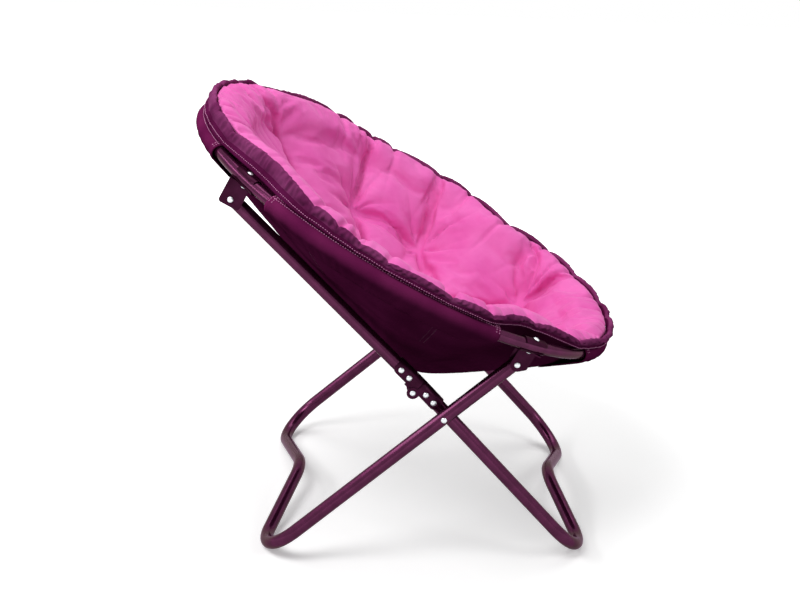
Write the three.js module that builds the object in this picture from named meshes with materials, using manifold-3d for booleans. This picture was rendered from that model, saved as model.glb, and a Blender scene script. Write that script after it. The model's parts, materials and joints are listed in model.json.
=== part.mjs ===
// Folding saucer chair: a round hoop carries a hanging padded seat and stands on two crossed leg frames
// Millimetres, +Z up; the sitter faces +X, and the origin is on the floor below the middle of the hoop
import * as THREE from "three";
import { mergeVertices } from "three/addons/utils/BufferGeometryUtils.js";
import Module from "manifold-3d";

// Fits shared by all pieces
const fitGap = 0.3; // between faces that touch on the real chair
const pivotGap = 0.6; // on each side of a tube between two bracket plates
const cutOverrun = 5; // how far a cutting tool stands out of what it cuts
const weldTolerance = 1e-4;
const tubeSides = 12;
const boreSides = 8;
const outlineSides = 4; // of each round corner in a side view
const saddleSides = 3;
const channelSides = 5;
const earSides = 16;

// Hoop, bent from two half rings with a sleeve inside each joint
const hoopRadius = 387; // to the tube's centre line
const hoopTubeDiameter = 19;
const hoopWall = 1.2;
const hoopStepAngle = 7.5; // degrees from ring to ring of the bent tube
const sleeveLength = 80;
const sleeveWall = 1.5;
const sleeveScrewOffset = 20; // from the joint, along the hoop

// Legs and struts: an outer frame to the rear feet, an inner one to the front feet
const legTubeDiameter = 22;
const legWall = 1.2;
const rearFrameStand = 8.25023; // of the outer frame's tubes, out from the hoop at the rear bolts
const frameGap = 6.4; // between the outer and the inner frame's tubes
const strutLength = 422.5; // rear hoop pivot to the knee, along the strut
const kneeOffset = 13.5; // knee pivot below the tubes' centre lines
const kneeKink = 1.74; // degrees by which the locked knee bends past straight
const kneeToScissor = 59.36;
const scissorToFrontPivot = 148.04;
const rearFootLength = 533.2; // front hoop pivot to the lowest point of the rear foot
const frontFootLength = 352.8; // scissor pivot to the lowest point of the front foot
const tubeEndReach = 7; // of a tube past its end pivot
const kneeEndGap = 0.6; // between the two tubes' ends at the knee
const rearCornerRadius = 72;
const rearArchAngle = 17.1; // degrees by which the rear foot bar rises to its middle
const frontCornerRadius = 73;
const frontArchAngle = 19.7;
const footApexRadius = 125;
const cornerSteps = 5;
const apexSteps = 2;

// Pivots on the hoop, in the hoop's own frame: forwards along its plane and below it
const rearPivotBack = 288;
const rearPivotDrop = 40.9;
const frontPivotForward = 223.7;
const frontPivotDrop = 47.7;

// Hoop brackets, each a folded plate with a saddle under the tube, bolted through a second saddle on top
const bracketPlate = 2;
const bracketBack = 14.5; // pivot to the inner face of the web
const rearBracketReach = 19; // pivot to the open edge of the side plates
const frontBracketReach = 11;
const bracketFoot = 10.5; // pivot to the lower edge of the side plates
const rearBracketCorner = 5;
const rearBoltBack = 280;
const frontBoltForward = 219;
const saddleLength = 52;
const saddleWrapAngle = 52; // degrees on each side of the saddle's middle
const topSaddleLength = 46;
const topSaddleWrapAngle = 58;

// Knee channels, riveted round the tube ends
const channelPlate = 2;
const upperChannelLength = 52;
const lowerChannelLength = 45;
const channelSkirt = 9.5; // centre line down to the side plates' lower edge
const channelEndRadius = 8;
const outerEarRadius = 10;
const innerEarRadius = 6.8;
const innerEarReach = 20;
const innerEarRise = 6.5; // pivot up to the top of the inner ear's arm
const joggleLength = 8;
const joggleHeight = 3;
const upperRivetNear = 22.7; // along the strut, from the knee
const upperRivetFar = 41;
const lowerRivetNear = 16.4;
const lowerRivetFar = 34.5;

// Fasteners
const rivetShankDiameter = 4;
const rivetHeadDiameter = 9.6;
const rivetHeadHeight = 2;
const rivetTailDiameter = 7;
const rivetTailHeight = 1.4;
const boltShankDiameter = 5;
const boltHeadDiameter = 10;
const boltHeadHeight = 2.4;
const boltTailDiameter = 8;
const boltTailHeight = 2.2;
const screwShankDiameter = 3.2;
const screwHeadDiameter = 6;
const screwHeadHeight = 1.4;
const screwTipReach = 3; // past the sleeve's wall
const scissorShoulderDiameter = 14;
const scissorShoulderHeight = 1.2;
const plugCapHeight = 1.5;
const plugDepth = 12;
const fastenerSides = 8;
const domeShoulderShares = { radius: 0.86, height: 0.45 }; // of the head, where its dome begins

// Seat: a fabric shell, a tufted cushion, a binding round the rim and four pockets that hold the hoop
const rimStand = 1; // of the shell's rim, out from the hoop's centre line
const rimRadius = hoopRadius + rimStand;
const bowlDepth = 222; // hoop plane to the underside
const bowlForward = 100; // deepest point, in front of the hoop's middle
const shellThickness = 3;
const seatEdgeHeight = 14; // hoop plane to the shell's edge at the sides
const rearRimRise = 22; // extra height of the rim at the back
const rearBellyRise = 18; // how much shallower the bowl is behind its deepest point
const rearRimPull = 16; // how far the rim draws in between the pockets, at the brackets
const frontRimPull = 38;
const rimPullAngle = 18; // degrees on each side of a bracket
const cushionThickness = 36;
const cushionEdgeThickness = 9;
const foldFanForward = 60; // the folds fan out from here, in front of the hoop's middle
const tuftDepth = 17;
const tuftSpread = 34;
const foldDepth = 7;
const foldSpread = 16;
const bindingThickness = 9;
const bindingBevel = 3;
const bindingBottom = 12.8; // above the hoop plane
const bindingStand = 13; // above the shell's edge
const pocketThickness = 2;
const pocketBore = 12; // radius of the space round the hoop tube
const sidePocketDepth = 42; // hoop plane to the pocket's lower seam
const frontPocketDepth = 62;
const rearPocketDepth = 46;
const pocketSeamStand = 4; // from the shell's face to the middle of the seam
const frontPocketClearance = 138.7074; // along the hoop, from a bracket's bolt to the pocket's end
const rearPocketClearance = 92.229;
const sidePocketFrontClearance = 77.4342;
const sidePocketRearClearance = 63.1227;
const seatColumns = 40;
const shellRows = 10; // shared by the cushion's underside
const cushionTopRows = 10;
const surfaceStep = 1e-3; // share of the section, and radians, between points that give a slope
const seamSearchSteps = 400;

// The bowl's section from its deepest point to the rim: share of the way out, share of the depth
const bowlSectionShares = [
  [0, 1],
  [0.12, 0.99],
  [0.23, 0.94],
  [0.41, 0.765],
  [0.6, 0.555],
  [0.79, 0.335],
  [0.89, 0.19],
  [0.925, 0.07],
  [0.935, -0.02],
];
// The sewn tufts on the left: forwards and to the left, as shares of the rim's radius
const tuftShares = [
  [0.72, 0.36],
  [0.2, 0.605],
  [-0.195, 0.55],
  [-0.53, 0.29],
];
const rimRiseStartShare = 0.75; // share of the section at which the rear of the rim begins to lift
const rearLiftShares = [0.15, 0.7]; // how far back the lift begins and is whole, as shares of the radius
const rearBellyShares = [-0.1, 0.4]; // the same for the shallower part of the bowl

// Each pocket's stretch of the hoop, in degrees from straight ahead to the left
const fullTurn = 360;
const frontBoltTurn = THREE.MathUtils.radToDeg(Math.acos(frontBoltForward / hoopRadius));
const rearBoltTurn = THREE.MathUtils.radToDeg(Math.acos(-rearBoltBack / hoopRadius));
const frontPocketEnd = frontBoltTurn - hoopAngle(frontPocketClearance);
const rearPocketEnd = rearBoltTurn + hoopAngle(rearPocketClearance);
const sidePocketFront = frontBoltTurn + hoopAngle(sidePocketFrontClearance);
const sidePocketRear = rearBoltTurn - hoopAngle(sidePocketRearClearance);
const pocketStretches = [
  ["hoop_pocket_front", -frontPocketEnd, frontPocketEnd, frontPocketDepth],
  ["hoop_pocket_left", sidePocketFront, sidePocketRear, sidePocketDepth],
  ["hoop_pocket_rear", rearPocketEnd, fullTurn - rearPocketEnd, rearPocketDepth],
  ["hoop_pocket_right", fullTurn - sidePocketRear, fullTurn - sidePocketFront, sidePocketDepth],
];

const tubePaint = new THREE.MeshStandardMaterial({ color: 0x4a1535, roughness: 0.3, metalness: 0.6 });
const bracketPaint = new THREE.MeshStandardMaterial({ color: 0x3f1230, roughness: 0.35, metalness: 0.6 });
const zincSteel = new THREE.MeshStandardMaterial({ color: 0xd8e0e4, roughness: 0.35, metalness: 0.9 });
const blackPlastic = new THREE.MeshStandardMaterial({ color: 0x241420, roughness: 0.6, metalness: 0 });
const pinkFabric = new THREE.MeshStandardMaterial({ color: 0xea62b4, roughness: 0.7, metalness: 0 });
const plumFabric = new THREE.MeshStandardMaterial({ color: 0x6c2450, roughness: 0.8, metalness: 0 });

const wasm = await Module();
wasm.setup();

const radians = THREE.MathUtils.degToRad;
const hoopTubeRadius = hoopTubeDiameter / 2;
const legTubeRadius = legTubeDiameter / 2;
const rearFootHalfWidth = hoopWidthAt(rearBoltBack) + rearFrameStand;
const frontFootHalfWidth = rearFootHalfWidth - legTubeDiameter - frameGap;
const channelInner = legTubeRadius + fitGap;
const channelOuter = channelInner + channelPlate;
const acrossHoop = new THREE.Vector3(0, 0, 1);

// Solids and meshes

function solidOf(geometry) {
  const bare = new THREE.BufferGeometry();
  bare.setAttribute("position", geometry.getAttribute("position"));
  bare.setIndex(geometry.index);
  const merged = mergeVertices(bare, weldTolerance);
  const triVerts = new Uint32Array(merged.index.array);
  return new wasm.Manifold(
    new wasm.Mesh({ numProp: 3, vertProperties: merged.attributes.position.array, triVerts }),
  );
}

function geometryOf(solid) {
  const made = solid.getMesh();
  const geometry = new THREE.BufferGeometry();
  geometry.setAttribute("position", new THREE.BufferAttribute(made.vertProperties, 3));
  geometry.setIndex(new THREE.BufferAttribute(made.triVerts, 1));
  geometry.computeVertexNormals();
  return geometry;
}

function joined(pieces) {
  return pieces.map(solidOf).reduce((whole, piece) => whole.add(piece));
}

function cut(solid, tools) {
  return geometryOf(tools.reduce((rest, tool) => rest.subtract(solidOf(tool)), solid));
}

// The same piece for the other side of the chair
function mirrored(geometry) {
  const copy = geometryOf(solidOf(geometry));
  copy.scale(1, -1, 1);
  const order = copy.index.array;
  for (let i = 0; i < order.length; i += 3) {
    [order[i + 1], order[i + 2]] = [order[i + 2], order[i + 1]];
  }
  return copy;
}

function addMesh(group, name, geometry, material) {
  const mesh = new THREE.Mesh(geometry, material);
  mesh.name = name;
  group.add(mesh);
}

// Pieces are drawn for the left side, +Y, and repeated on the right
function addPair(group, name, geometry, material) {
  addMesh(group, `${name}_left`, geometry, material);
  addMesh(group, `${name}_right`, mirrored(geometry), material);
}

// A flat bent path that has a ring only at its chosen stops
class StoppedPath extends THREE.Curve {
  constructor(stops, planeNormal) {
    super();
    this.stops = stops;
    this.planeNormal = planeNormal;
  }

  stopAt(share) {
    return this.stops[Math.round(share * (this.stops.length - 1))];
  }

  getPointAt(share, target = new THREE.Vector3()) {
    return target.copy(this.stopAt(share).point);
  }

  getTangentAt(share, target = new THREE.Vector3()) {
    return target.copy(this.stopAt(share).tangent);
  }

  computeFrenetFrames() {
    const tangents = this.stops.map((stop) => stop.tangent);
    const normals = tangents.map(() => this.planeNormal);
    const binormals = tangents.map((tangent) => new THREE.Vector3().crossVectors(tangent, this.planeNormal));
    return { tangents, normals, binormals };
  }
}

function sweep(section, path, curveSegments) {
  return new THREE.ExtrudeGeometry(section, {
    steps: path.stops.length - 1,
    extrudePath: path,
    curveSegments,
  });
}

function tubeSection(radius, wall) {
  const section = new THREE.Shape();
  section.absarc(0, 0, radius, 0, Math.PI * 2);
  const bore = new THREE.Path();
  bore.absarc(0, 0, radius - wall, 0, Math.PI * 2, true);
  section.holes.push(bore);
  return section;
}

function tube(path, radius, wall) {
  return sweep(tubeSection(radius, wall), path, tubeSides / 2);
}

// Stops along the hoop's facetted centre line between two angles, so that what wraps it lies parallel
function hoopPath(fromDegrees, toDegrees) {
  const angles = [fromDegrees];
  const firstRing = Math.floor(fromDegrees / hoopStepAngle) + 1;
  for (let ring = firstRing; ring * hoopStepAngle < toDegrees; ring += 1) {
    angles.push(ring * hoopStepAngle);
  }
  angles.push(toDegrees);
  const ringPoint = (ring) => {
    const turn = radians(ring * hoopStepAngle);
    return new THREE.Vector3(Math.cos(turn), Math.sin(turn), 0).multiplyScalar(hoopRadius);
  };
  const stops = angles.map((angle) => {
    const ring = Math.floor(angle / hoopStepAngle);
    const point = ringPoint(ring).lerp(ringPoint(ring + 1), angle / hoopStepAngle - ring);
    const turn = Math.atan2(point.y, point.x);
    return { point, tangent: new THREE.Vector3(-Math.sin(turn), Math.cos(turn), 0) };
  });
  return new StoppedPath(stops, acrossHoop);
}

function hoopAngle(length) {
  return THREE.MathUtils.radToDeg(length / hoopRadius);
}

function hoopWidthAt(along) {
  return Math.sqrt(hoopRadius ** 2 - along ** 2);
}

// A pin-shaped cutting tool across the chair
function pinAcross(x, middle, z, halfLength, radius, sides = boreSides) {
  return new THREE.CylinderGeometry(radius, radius, halfLength * 2, sides).translate(x, middle, z);
}

// A pin-shaped cutting tool square to the hoop's plane
function pinThrough(x, y, bottom, top, radius) {
  return new THREE.CylinderGeometry(radius, radius, top - bottom, boreSides)
    .rotateX(Math.PI / 2)
    .translate(x, y, (top + bottom) / 2);
}

// A plate cut to an outline in the side view, between two distances from the chair's middle
function sidePlate(outline, low, high) {
  const depth = high - low;
  return new THREE.ExtrudeGeometry(outline, { depth, bevelEnabled: false, curveSegments: outlineSides })
    .rotateX(Math.PI / 2)
    .translate(0, high, 0);
}

function block(lowX, highX, lowY, highY, lowZ, highZ) {
  return new THREE.BoxGeometry(highX - lowX, highY - lowY, highZ - lowZ).translate(
    (lowX + highX) / 2,
    (lowY + highY) / 2,
    (lowZ + highZ) / 2,
  );
}

// A fastener on the Y axis: domed head above, shank from low to high, formed tail below
function fastener(low, high, shankRadius, head, tail) {
  const domeShoulder = high + head.height * domeShoulderShares.height;
  const profile = [
    new THREE.Vector2(0, low - tail.height),
    new THREE.Vector2(tail.radius, low - tail.height),
    new THREE.Vector2(tail.radius, low),
    new THREE.Vector2(shankRadius, low),
    new THREE.Vector2(shankRadius, high),
    new THREE.Vector2(head.radius, high),
    new THREE.Vector2(head.radius * domeShoulderShares.radius, domeShoulder),
    new THREE.Vector2(0, high + head.height),
  ];
  return new THREE.LatheGeometry(profile, fastenerSides);
}

const rivetHead = { radius: rivetHeadDiameter / 2, height: rivetHeadHeight };
const rivetTail = { radius: rivetTailDiameter / 2, height: rivetTailHeight };
const boltHead = { radius: boltHeadDiameter / 2, height: boltHeadHeight };
const boltTail = { radius: boltTailDiameter / 2, height: boltTailHeight };
const rivetRadius = rivetShankDiameter / 2;
const boltRadius = boltShankDiameter / 2;
const rivetBore = rivetRadius + fitGap;
const boltBore = boltRadius + fitGap;

// The linkage, solved in the hoop's frame for the locked open pose

const rearPivot = new THREE.Vector2(-rearPivotBack, -rearPivotDrop);
const frontPivot = new THREE.Vector2(frontPivotForward, -frontPivotDrop);

function direction(angle) {
  return new THREE.Vector2(Math.cos(angle), Math.sin(angle));
}

function solveLinkage() {
  const kink = radians(kneeKink);
  const scissorAlong = strutLength + kneeOffset * Math.sin(kink) + kneeToScissor * Math.cos(kink);
  const scissorAside = kneeOffset * (Math.cos(kink) - 1) - kneeToScissor * Math.sin(kink);
  const reach = Math.hypot(scissorAlong, scissorAside);
  const base = frontPivot.clone().sub(rearPivot);
  const cosine =
    (reach ** 2 + base.lengthSq() - scissorToFrontPivot ** 2) / (2 * reach * base.length());
  const strutAngle = base.angle() - Math.acos(cosine) - Math.atan2(scissorAside, scissorAlong);
  const kneeOnStrut = rearPivot.clone().addScaledVector(direction(strutAngle), strutLength);
  const knee = kneeOnStrut.clone().addScaledVector(direction(strutAngle + Math.PI / 2), -kneeOffset);
  const frontLegAngle = strutAngle - kink;
  const kneeOnLeg = knee.clone().addScaledVector(direction(frontLegAngle + Math.PI / 2), kneeOffset);
  const scissor = kneeOnLeg.clone().addScaledVector(direction(frontLegAngle), kneeToScissor);
  const rearLegAngle = scissor.clone().sub(frontPivot).angle();
  const rearFoot = frontPivot.clone().addScaledVector(direction(rearLegAngle), rearFootLength);
  const frontFoot = scissor.clone().addScaledVector(direction(frontLegAngle), frontFootLength);
  const tilt = Math.atan2(frontFoot.y - rearFoot.y, frontFoot.x - rearFoot.x);
  const height = legTubeRadius + rearFoot.x * Math.sin(tilt) - rearFoot.y * Math.cos(tilt);
  return { strutAngle, kneeOnLeg, frontLegAngle, rearLegAngle, tilt, height };
}

const linkage = solveLinkage();

const chair = new THREE.Group();
chair.rotation.y = linkage.tilt;
chair.position.z = linkage.height;

// A group with its x axis along a tube: origin is a place in the hoop's side view
function tubeGroup(origin, angle) {
  const group = new THREE.Group();
  group.position.set(origin.x, 0, origin.y);
  group.rotation.y = -angle;
  chair.add(group);
  return group;
}

const strutGroup = tubeGroup(rearPivot, linkage.strutAngle);
const rearLegGroup = tubeGroup(frontPivot, linkage.rearLegAngle);
const frontLegGroup = tubeGroup(linkage.kneeOnLeg, linkage.frontLegAngle);

// Hoop

const rearBolt = new THREE.Vector2(-rearBoltBack, hoopWidthAt(rearBoltBack));
const frontBolt = new THREE.Vector2(frontBoltForward, hoopWidthAt(frontBoltForward));
const jointHalfAngle = hoopAngle(fitGap / 2);
const sleeveRadius = hoopTubeRadius - hoopWall - fitGap;
const screwTip = sleeveRadius - sleeveWall - screwTipReach;
const screwAngle = hoopAngle(sleeveScrewOffset);

function hoopPoint(degrees) {
  return direction(radians(degrees)).multiplyScalar(hoopRadius);
}

function screwBores() {
  return [90 - screwAngle, 90 + screwAngle, 270 - screwAngle, 270 + screwAngle].map((angle) => {
    const place = hoopPoint(angle);
    return pinThrough(place.x, place.y, -hoopTubeRadius - cutOverrun, 0, screwShankDiameter / 2 + fitGap);
  });
}

function boltBores(bolt) {
  const reach = hoopTubeRadius + cutOverrun;
  return [bolt.y, -bolt.y].map((y) => pinThrough(bolt.x, y, -reach, reach, boltBore));
}

function buildHoop() {
  const rearTube = tube(hoopPath(90 + jointHalfAngle, 270 - jointHalfAngle), hoopTubeRadius, hoopWall);
  const frontTube = tube(hoopPath(jointHalfAngle - 90, 90 - jointHalfAngle), hoopTubeRadius, hoopWall);
  const rearHalf = cut(solidOf(rearTube), [...screwBores(), ...boltBores(rearBolt)]);
  const frontHalf = cut(solidOf(frontTube), [...screwBores(), ...boltBores(frontBolt)]);
  addMesh(chair, "hoop_rear_half", rearHalf, tubePaint);
  addMesh(chair, "hoop_front_half", frontHalf, tubePaint);

  const sleeveHalfAngle = hoopAngle(sleeveLength / 2);
  const sleeve = tube(hoopPath(90 - sleeveHalfAngle, 90 + sleeveHalfAngle), sleeveRadius, sleeveWall);
  addPair(chair, "hoop_joint_sleeve", cut(solidOf(sleeve), screwBores()), zincSteel);

  const head = { radius: screwHeadDiameter / 2, height: screwHeadHeight };
  const tip = { radius: screwShankDiameter / 2, height: screwTipReach };
  [
    ["front", 90 - screwAngle],
    ["rear", 90 + screwAngle],
  ].forEach(([end, angle]) => {
    const place = hoopPoint(angle);
    const screw = fastener(screwTip, hoopTubeRadius + fitGap, screwShankDiameter / 2, head, tip)
      .rotateX(-Math.PI / 2)
      .translate(place.x, place.y, 0);
    addPair(chair, `hoop_joint_screw_${end}`, screw, zincSteel);
  });
}

// Hoop brackets

// A strip that wraps the tube: its section is an arc of plate whose middle points up or down
function saddleStrip(bolt, length, middleAngle, wrapAngle) {
  const inner = hoopTubeRadius + fitGap;
  const outer = inner + bracketPlate;
  const from = radians(middleAngle - wrapAngle);
  const to = radians(middleAngle + wrapAngle);
  const section = new THREE.Shape();
  section.absarc(0, 0, outer, from, to, false);
  section.absarc(0, 0, inner, to, from, true);
  const boltAngle = THREE.MathUtils.radToDeg(bolt.angle());
  const halfAngle = hoopAngle(length / 2);
  return sweep(section, hoopPath(boltAngle - halfAngle, boltAngle + halfAngle), saddleSides);
}

function rearBracketOutline() {
  const back = -bracketBack - bracketPlate;
  const top = rearPivotDrop - hoopTubeRadius - fitGap;
  const outline = new THREE.Shape();
  outline.moveTo(back + rearBracketCorner, -bracketFoot);
  outline.lineTo(rearBracketReach - rearBracketCorner, -bracketFoot);
  outline.absarc(
    rearBracketReach - rearBracketCorner,
    rearBracketCorner - bracketFoot,
    rearBracketCorner,
    -Math.PI / 2,
    0,
    false,
  );
  outline.lineTo(rearBracketReach, top);
  outline.lineTo(back, top);
  outline.lineTo(back, rearBracketCorner - bracketFoot);
  outline.absarc(
    back + rearBracketCorner,
    rearBracketCorner - bracketFoot,
    rearBracketCorner,
    Math.PI,
    Math.PI * 1.5,
    false,
  );
  return outline;
}

function frontBracketOutline() {
  const front = bracketBack + bracketPlate;
  const top = frontPivotDrop - hoopTubeRadius - fitGap;
  const outline = new THREE.Shape();
  outline.absarc(0, 0, frontBracketReach, Math.PI, Math.PI * 1.75, false);
  outline.lineTo(front, 0);
  outline.lineTo(front, top);
  outline.lineTo(-frontBracketReach, top);
  return outline;
}

// One bracket: two side plates, a web that joins them, a flange under the hoop and the lower saddle
function buildBracket(name, outline, pivot, tubeMiddle, bolt, web, flange) {
  const inner = legTubeRadius + pivotGap;
  const outer = inner + bracketPlate;
  const flangeTop = -hoopTubeRadius - fitGap;
  const place = (geometry) => geometry.translate(pivot.x, 0, pivot.y);
  const pieces = [
    place(sidePlate(outline, tubeMiddle + inner, tubeMiddle + outer)),
    place(sidePlate(outline, tubeMiddle - outer, tubeMiddle - inner)),
    block(web.low, web.high, tubeMiddle - outer, tubeMiddle + outer, web.foot, flangeTop),
    block(flange.low, flange.high, tubeMiddle - outer, flange.out, flangeTop - bracketPlate, flangeTop),
    saddleStrip(bolt, saddleLength, 180, saddleWrapAngle),
  ];
  const tools = [
    pinAcross(pivot.x, tubeMiddle, pivot.y, outer + cutOverrun, rivetBore),
    pinThrough(bolt.x, bolt.y, flangeTop - bracketPlate - cutOverrun, 0, boltBore),
    ...pathClearance(bolt),
  ];
  addPair(chair, `hoop_bracket_${name}`, cut(joined(pieces), tools), bracketPaint);

  const topSaddle = saddleStrip(bolt, topSaddleLength, 0, topSaddleWrapAngle);
  const topBore = pinThrough(bolt.x, bolt.y, 0, hoopTubeRadius + bracketPlate + cutOverrun, boltBore);
  addPair(chair, `hoop_saddle_${name}`, cut(solidOf(topSaddle), [topBore]), bracketPaint);

  const seat = hoopTubeRadius + fitGap + bracketPlate + fitGap;
  const hoopBolt = fastener(-seat, seat, boltRadius, boltHead, boltTail)
    .rotateX(Math.PI / 2)
    .translate(bolt.x, bolt.y, 0);
  addPair(chair, `hoop_bolt_${name}`, hoopBolt, zincSteel);

  const rivet = fastener(-outer - fitGap, outer + fitGap, rivetRadius, rivetHead, rivetTail).translate(
    pivot.x,
    tubeMiddle,
    pivot.y,
  );
  addPair(chair, `pivot_rivet_${name}`, rivet, zincSteel);
}

// The room that the hoop tube needs inside a bracket
function pathClearance(bolt) {
  const boltAngle = THREE.MathUtils.radToDeg(bolt.angle());
  const halfAngle = hoopAngle(saddleLength);
  const section = new THREE.Shape();
  section.absarc(0, 0, hoopTubeRadius + fitGap, 0, Math.PI * 2);
  return [sweep(section, hoopPath(boltAngle - halfAngle, boltAngle + halfAngle), tubeSides / 2)];
}

function buildBrackets() {
  const flangeEdge = bracketBack + bracketPlate;
  const sideOut = legTubeRadius + pivotGap + bracketPlate;
  buildBracket(
    "rear",
    rearBracketOutline(),
    rearPivot,
    frontFootHalfWidth,
    rearBolt,
    { low: rearPivot.x - flangeEdge, high: rearPivot.x - bracketBack, foot: rearPivot.y - bracketFoot / 2 },
    {
      low: rearPivot.x - flangeEdge,
      high: rearPivot.x + rearBracketReach,
      out: frontFootHalfWidth + sideOut,
    },
  );
  buildBracket(
    "front",
    frontBracketOutline(),
    frontPivot,
    rearFootHalfWidth,
    frontBolt,
    { low: frontPivot.x + bracketBack, high: frontPivot.x + flangeEdge, foot: frontPivot.y },
    {
      low: frontPivot.x - frontBracketReach,
      high: frontPivot.x + flangeEdge,
      out: frontBolt.y,
    },
  );
}

// Struts and leg frames

function straightPath(from, to, middle) {
  const tangent = new THREE.Vector3(1, 0, 0);
  const stops = [from, to].map((x) => ({ point: new THREE.Vector3(x, middle, 0), tangent }));
  return new StoppedPath(stops, acrossHoop);
}

// A U frame seen square on: x down the legs, y across; the foot bar is arched between two round corners
function framePath(start, length, halfWidth, cornerRadius, archAngle) {
  const arch = radians(archAngle);
  const cornerX = length - cornerRadius;
  const cornerY = halfWidth - cornerRadius;
  const barLength =
    (cornerY - (cornerRadius + footApexRadius) * Math.sin(arch)) / Math.cos(arch);
  const apexX =
    cornerX + cornerRadius * Math.cos(arch) - barLength * Math.sin(arch) + footApexRadius * Math.cos(arch);
  const stops = [];
  const addStop = (x, y, angle) => {
    const tangent = new THREE.Vector3(-Math.sin(angle), Math.cos(angle), 0);
    stops.push({ point: new THREE.Vector3(x, y, 0), tangent });
  };
  addStop(start, -halfWidth, -Math.PI / 2);
  for (let step = 0; step <= cornerSteps; step += 1) {
    const turn = ((Math.PI / 2 + arch) * step) / cornerSteps - Math.PI / 2;
    const x = cornerX + cornerRadius * Math.cos(turn);
    addStop(x, cornerRadius * Math.sin(turn) - cornerY, turn);
  }
  for (let step = 0; step <= apexSteps; step += 1) {
    const turn = arch - (2 * arch * step) / apexSteps;
    addStop(apexX - footApexRadius * Math.cos(turn), -footApexRadius * Math.sin(turn), turn);
  }
  for (let step = cornerSteps; step >= 0; step -= 1) {
    const turn = ((Math.PI / 2 + arch) * step) / cornerSteps - Math.PI / 2;
    const x = cornerX + cornerRadius * Math.cos(turn);
    addStop(x, cornerY - cornerRadius * Math.sin(turn), -turn);
  }
  addStop(start, halfWidth, Math.PI / 2);
  return new StoppedPath(stops, acrossHoop);
}

function crossBores(places, halfWidth) {
  const reach = legTubeRadius + cutOverrun;
  return places.flatMap((x) => [
    pinAcross(x, halfWidth, 0, reach, rivetBore),
    pinAcross(x, -halfWidth, 0, reach, rivetBore),
  ]);
}

// A moulded plug that closes a tube's upper end
function endPlug(middle) {
  const bore = legTubeRadius - legWall - fitGap;
  const cap = -tubeEndReach - fitGap;
  const profile = [
    new THREE.Vector2(0, cap - plugCapHeight),
    new THREE.Vector2(legTubeRadius - plugCapHeight, cap - plugCapHeight),
    new THREE.Vector2(legTubeRadius, cap),
    new THREE.Vector2(bore, cap),
    new THREE.Vector2(bore, cap + plugDepth),
    new THREE.Vector2(bore - plugCapHeight, cap + plugDepth),
    new THREE.Vector2(bore - plugCapHeight, cap + plugCapHeight),
    new THREE.Vector2(0, cap + plugCapHeight),
  ];
  const plug = new THREE.LatheGeometry(profile, tubeSides).rotateZ(-Math.PI / 2).translate(0, middle, 0);
  return cut(solidOf(plug), [pinAcross(0, middle, 0, legTubeRadius, rivetBore)]);
}

function buildLegs() {
  const strut = tube(
    straightPath(-tubeEndReach, strutLength - kneeEndGap / 2, frontFootHalfWidth),
    legTubeRadius,
    legWall,
  );
  const strutBores = [0, strutLength - upperRivetNear, strutLength - upperRivetFar];
  const boredStrut = cut(solidOf(strut), crossBores(strutBores, frontFootHalfWidth));
  addPair(strutGroup, "upper_strut", boredStrut, tubePaint);
  addPair(strutGroup, "strut_end_plug", endPlug(frontFootHalfWidth), blackPlastic);

  const rearPath = framePath(
    -tubeEndReach,
    rearFootLength,
    rearFootHalfWidth,
    rearCornerRadius,
    rearArchAngle,
  );
  const rearTube = solidOf(tube(rearPath, legTubeRadius, legWall));
  const rearBores = crossBores([0, scissorToFrontPivot], rearFootHalfWidth);
  addMesh(rearLegGroup, "rear_foot_frame", cut(rearTube, rearBores), tubePaint);
  addPair(rearLegGroup, "leg_end_plug", endPlug(rearFootHalfWidth), blackPlastic);

  const frontPath = framePath(
    kneeEndGap / 2,
    kneeToScissor + frontFootLength,
    frontFootHalfWidth,
    frontCornerRadius,
    frontArchAngle,
  );
  const frontTube = solidOf(tube(frontPath, legTubeRadius, legWall));
  const frontBores = crossBores([lowerRivetNear, lowerRivetFar, kneeToScissor], frontFootHalfWidth);
  addMesh(frontLegGroup, "front_foot_frame", cut(frontTube, frontBores), tubePaint);
}

// Knee channels: x along the tube from the knee, z towards the channel's round back

// The channel's section, long enough downwards for its ears; x is up and y is outwards
function channelSection() {
  const foot = -kneeOffset - outerEarRadius - cutOverrun;
  const section = new THREE.Shape();
  section.moveTo(foot, channelOuter);
  section.lineTo(0, channelOuter);
  section.absarc(0, 0, channelOuter, Math.PI / 2, -Math.PI / 2, true);
  section.lineTo(foot, -channelOuter);
  section.lineTo(foot, -channelInner);
  section.lineTo(0, -channelInner);
  section.absarc(0, 0, channelInner, -Math.PI / 2, Math.PI / 2, false);
  section.lineTo(foot, channelInner);
  return section;
}

// The side plates' outline with a round lower corner at the far end
function channelOutline(knee, far) {
  const top = channelOuter + cutOverrun;
  const inward = Math.sign(knee - far);
  const outline = new THREE.Shape();
  outline.moveTo(knee, -channelSkirt);
  outline.lineTo(knee, top);
  outline.lineTo(far, top);
  outline.lineTo(far, channelEndRadius - channelSkirt);
  outline.quadraticCurveTo(far, -channelSkirt, far + inward * channelEndRadius, -channelSkirt);
  return outline;
}

function trimmedChannel(outline, from, to) {
  const blank = sweep(channelSection(), straightPath(from, to, 0), channelSides);
  const reach = channelOuter + cutOverrun;
  return solidOf(blank).intersect(solidOf(sidePlate(outline, -reach, reach)));
}

function earDisc(radius, low, high) {
  return pinAcross(0, (low + high) / 2, -kneeOffset, (high - low) / 2, radius, earSides);
}

// Lower channel: its outer ears are rings round the knee pivot
function lowerChannel() {
  const from = kneeEndGap / 2;
  const body = trimmedChannel(channelOutline(from, lowerChannelLength), from, lowerChannelLength);
  const armTop = -channelSkirt + channelPlate;
  const ears = [-channelOuter, channelInner].flatMap((low) => [
    earDisc(outerEarRadius, low, low + channelPlate),
    block(from, outerEarRadius, low, low + channelPlate, -kneeOffset, armTop),
  ]);
  return body.add(joined(ears));
}

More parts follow.
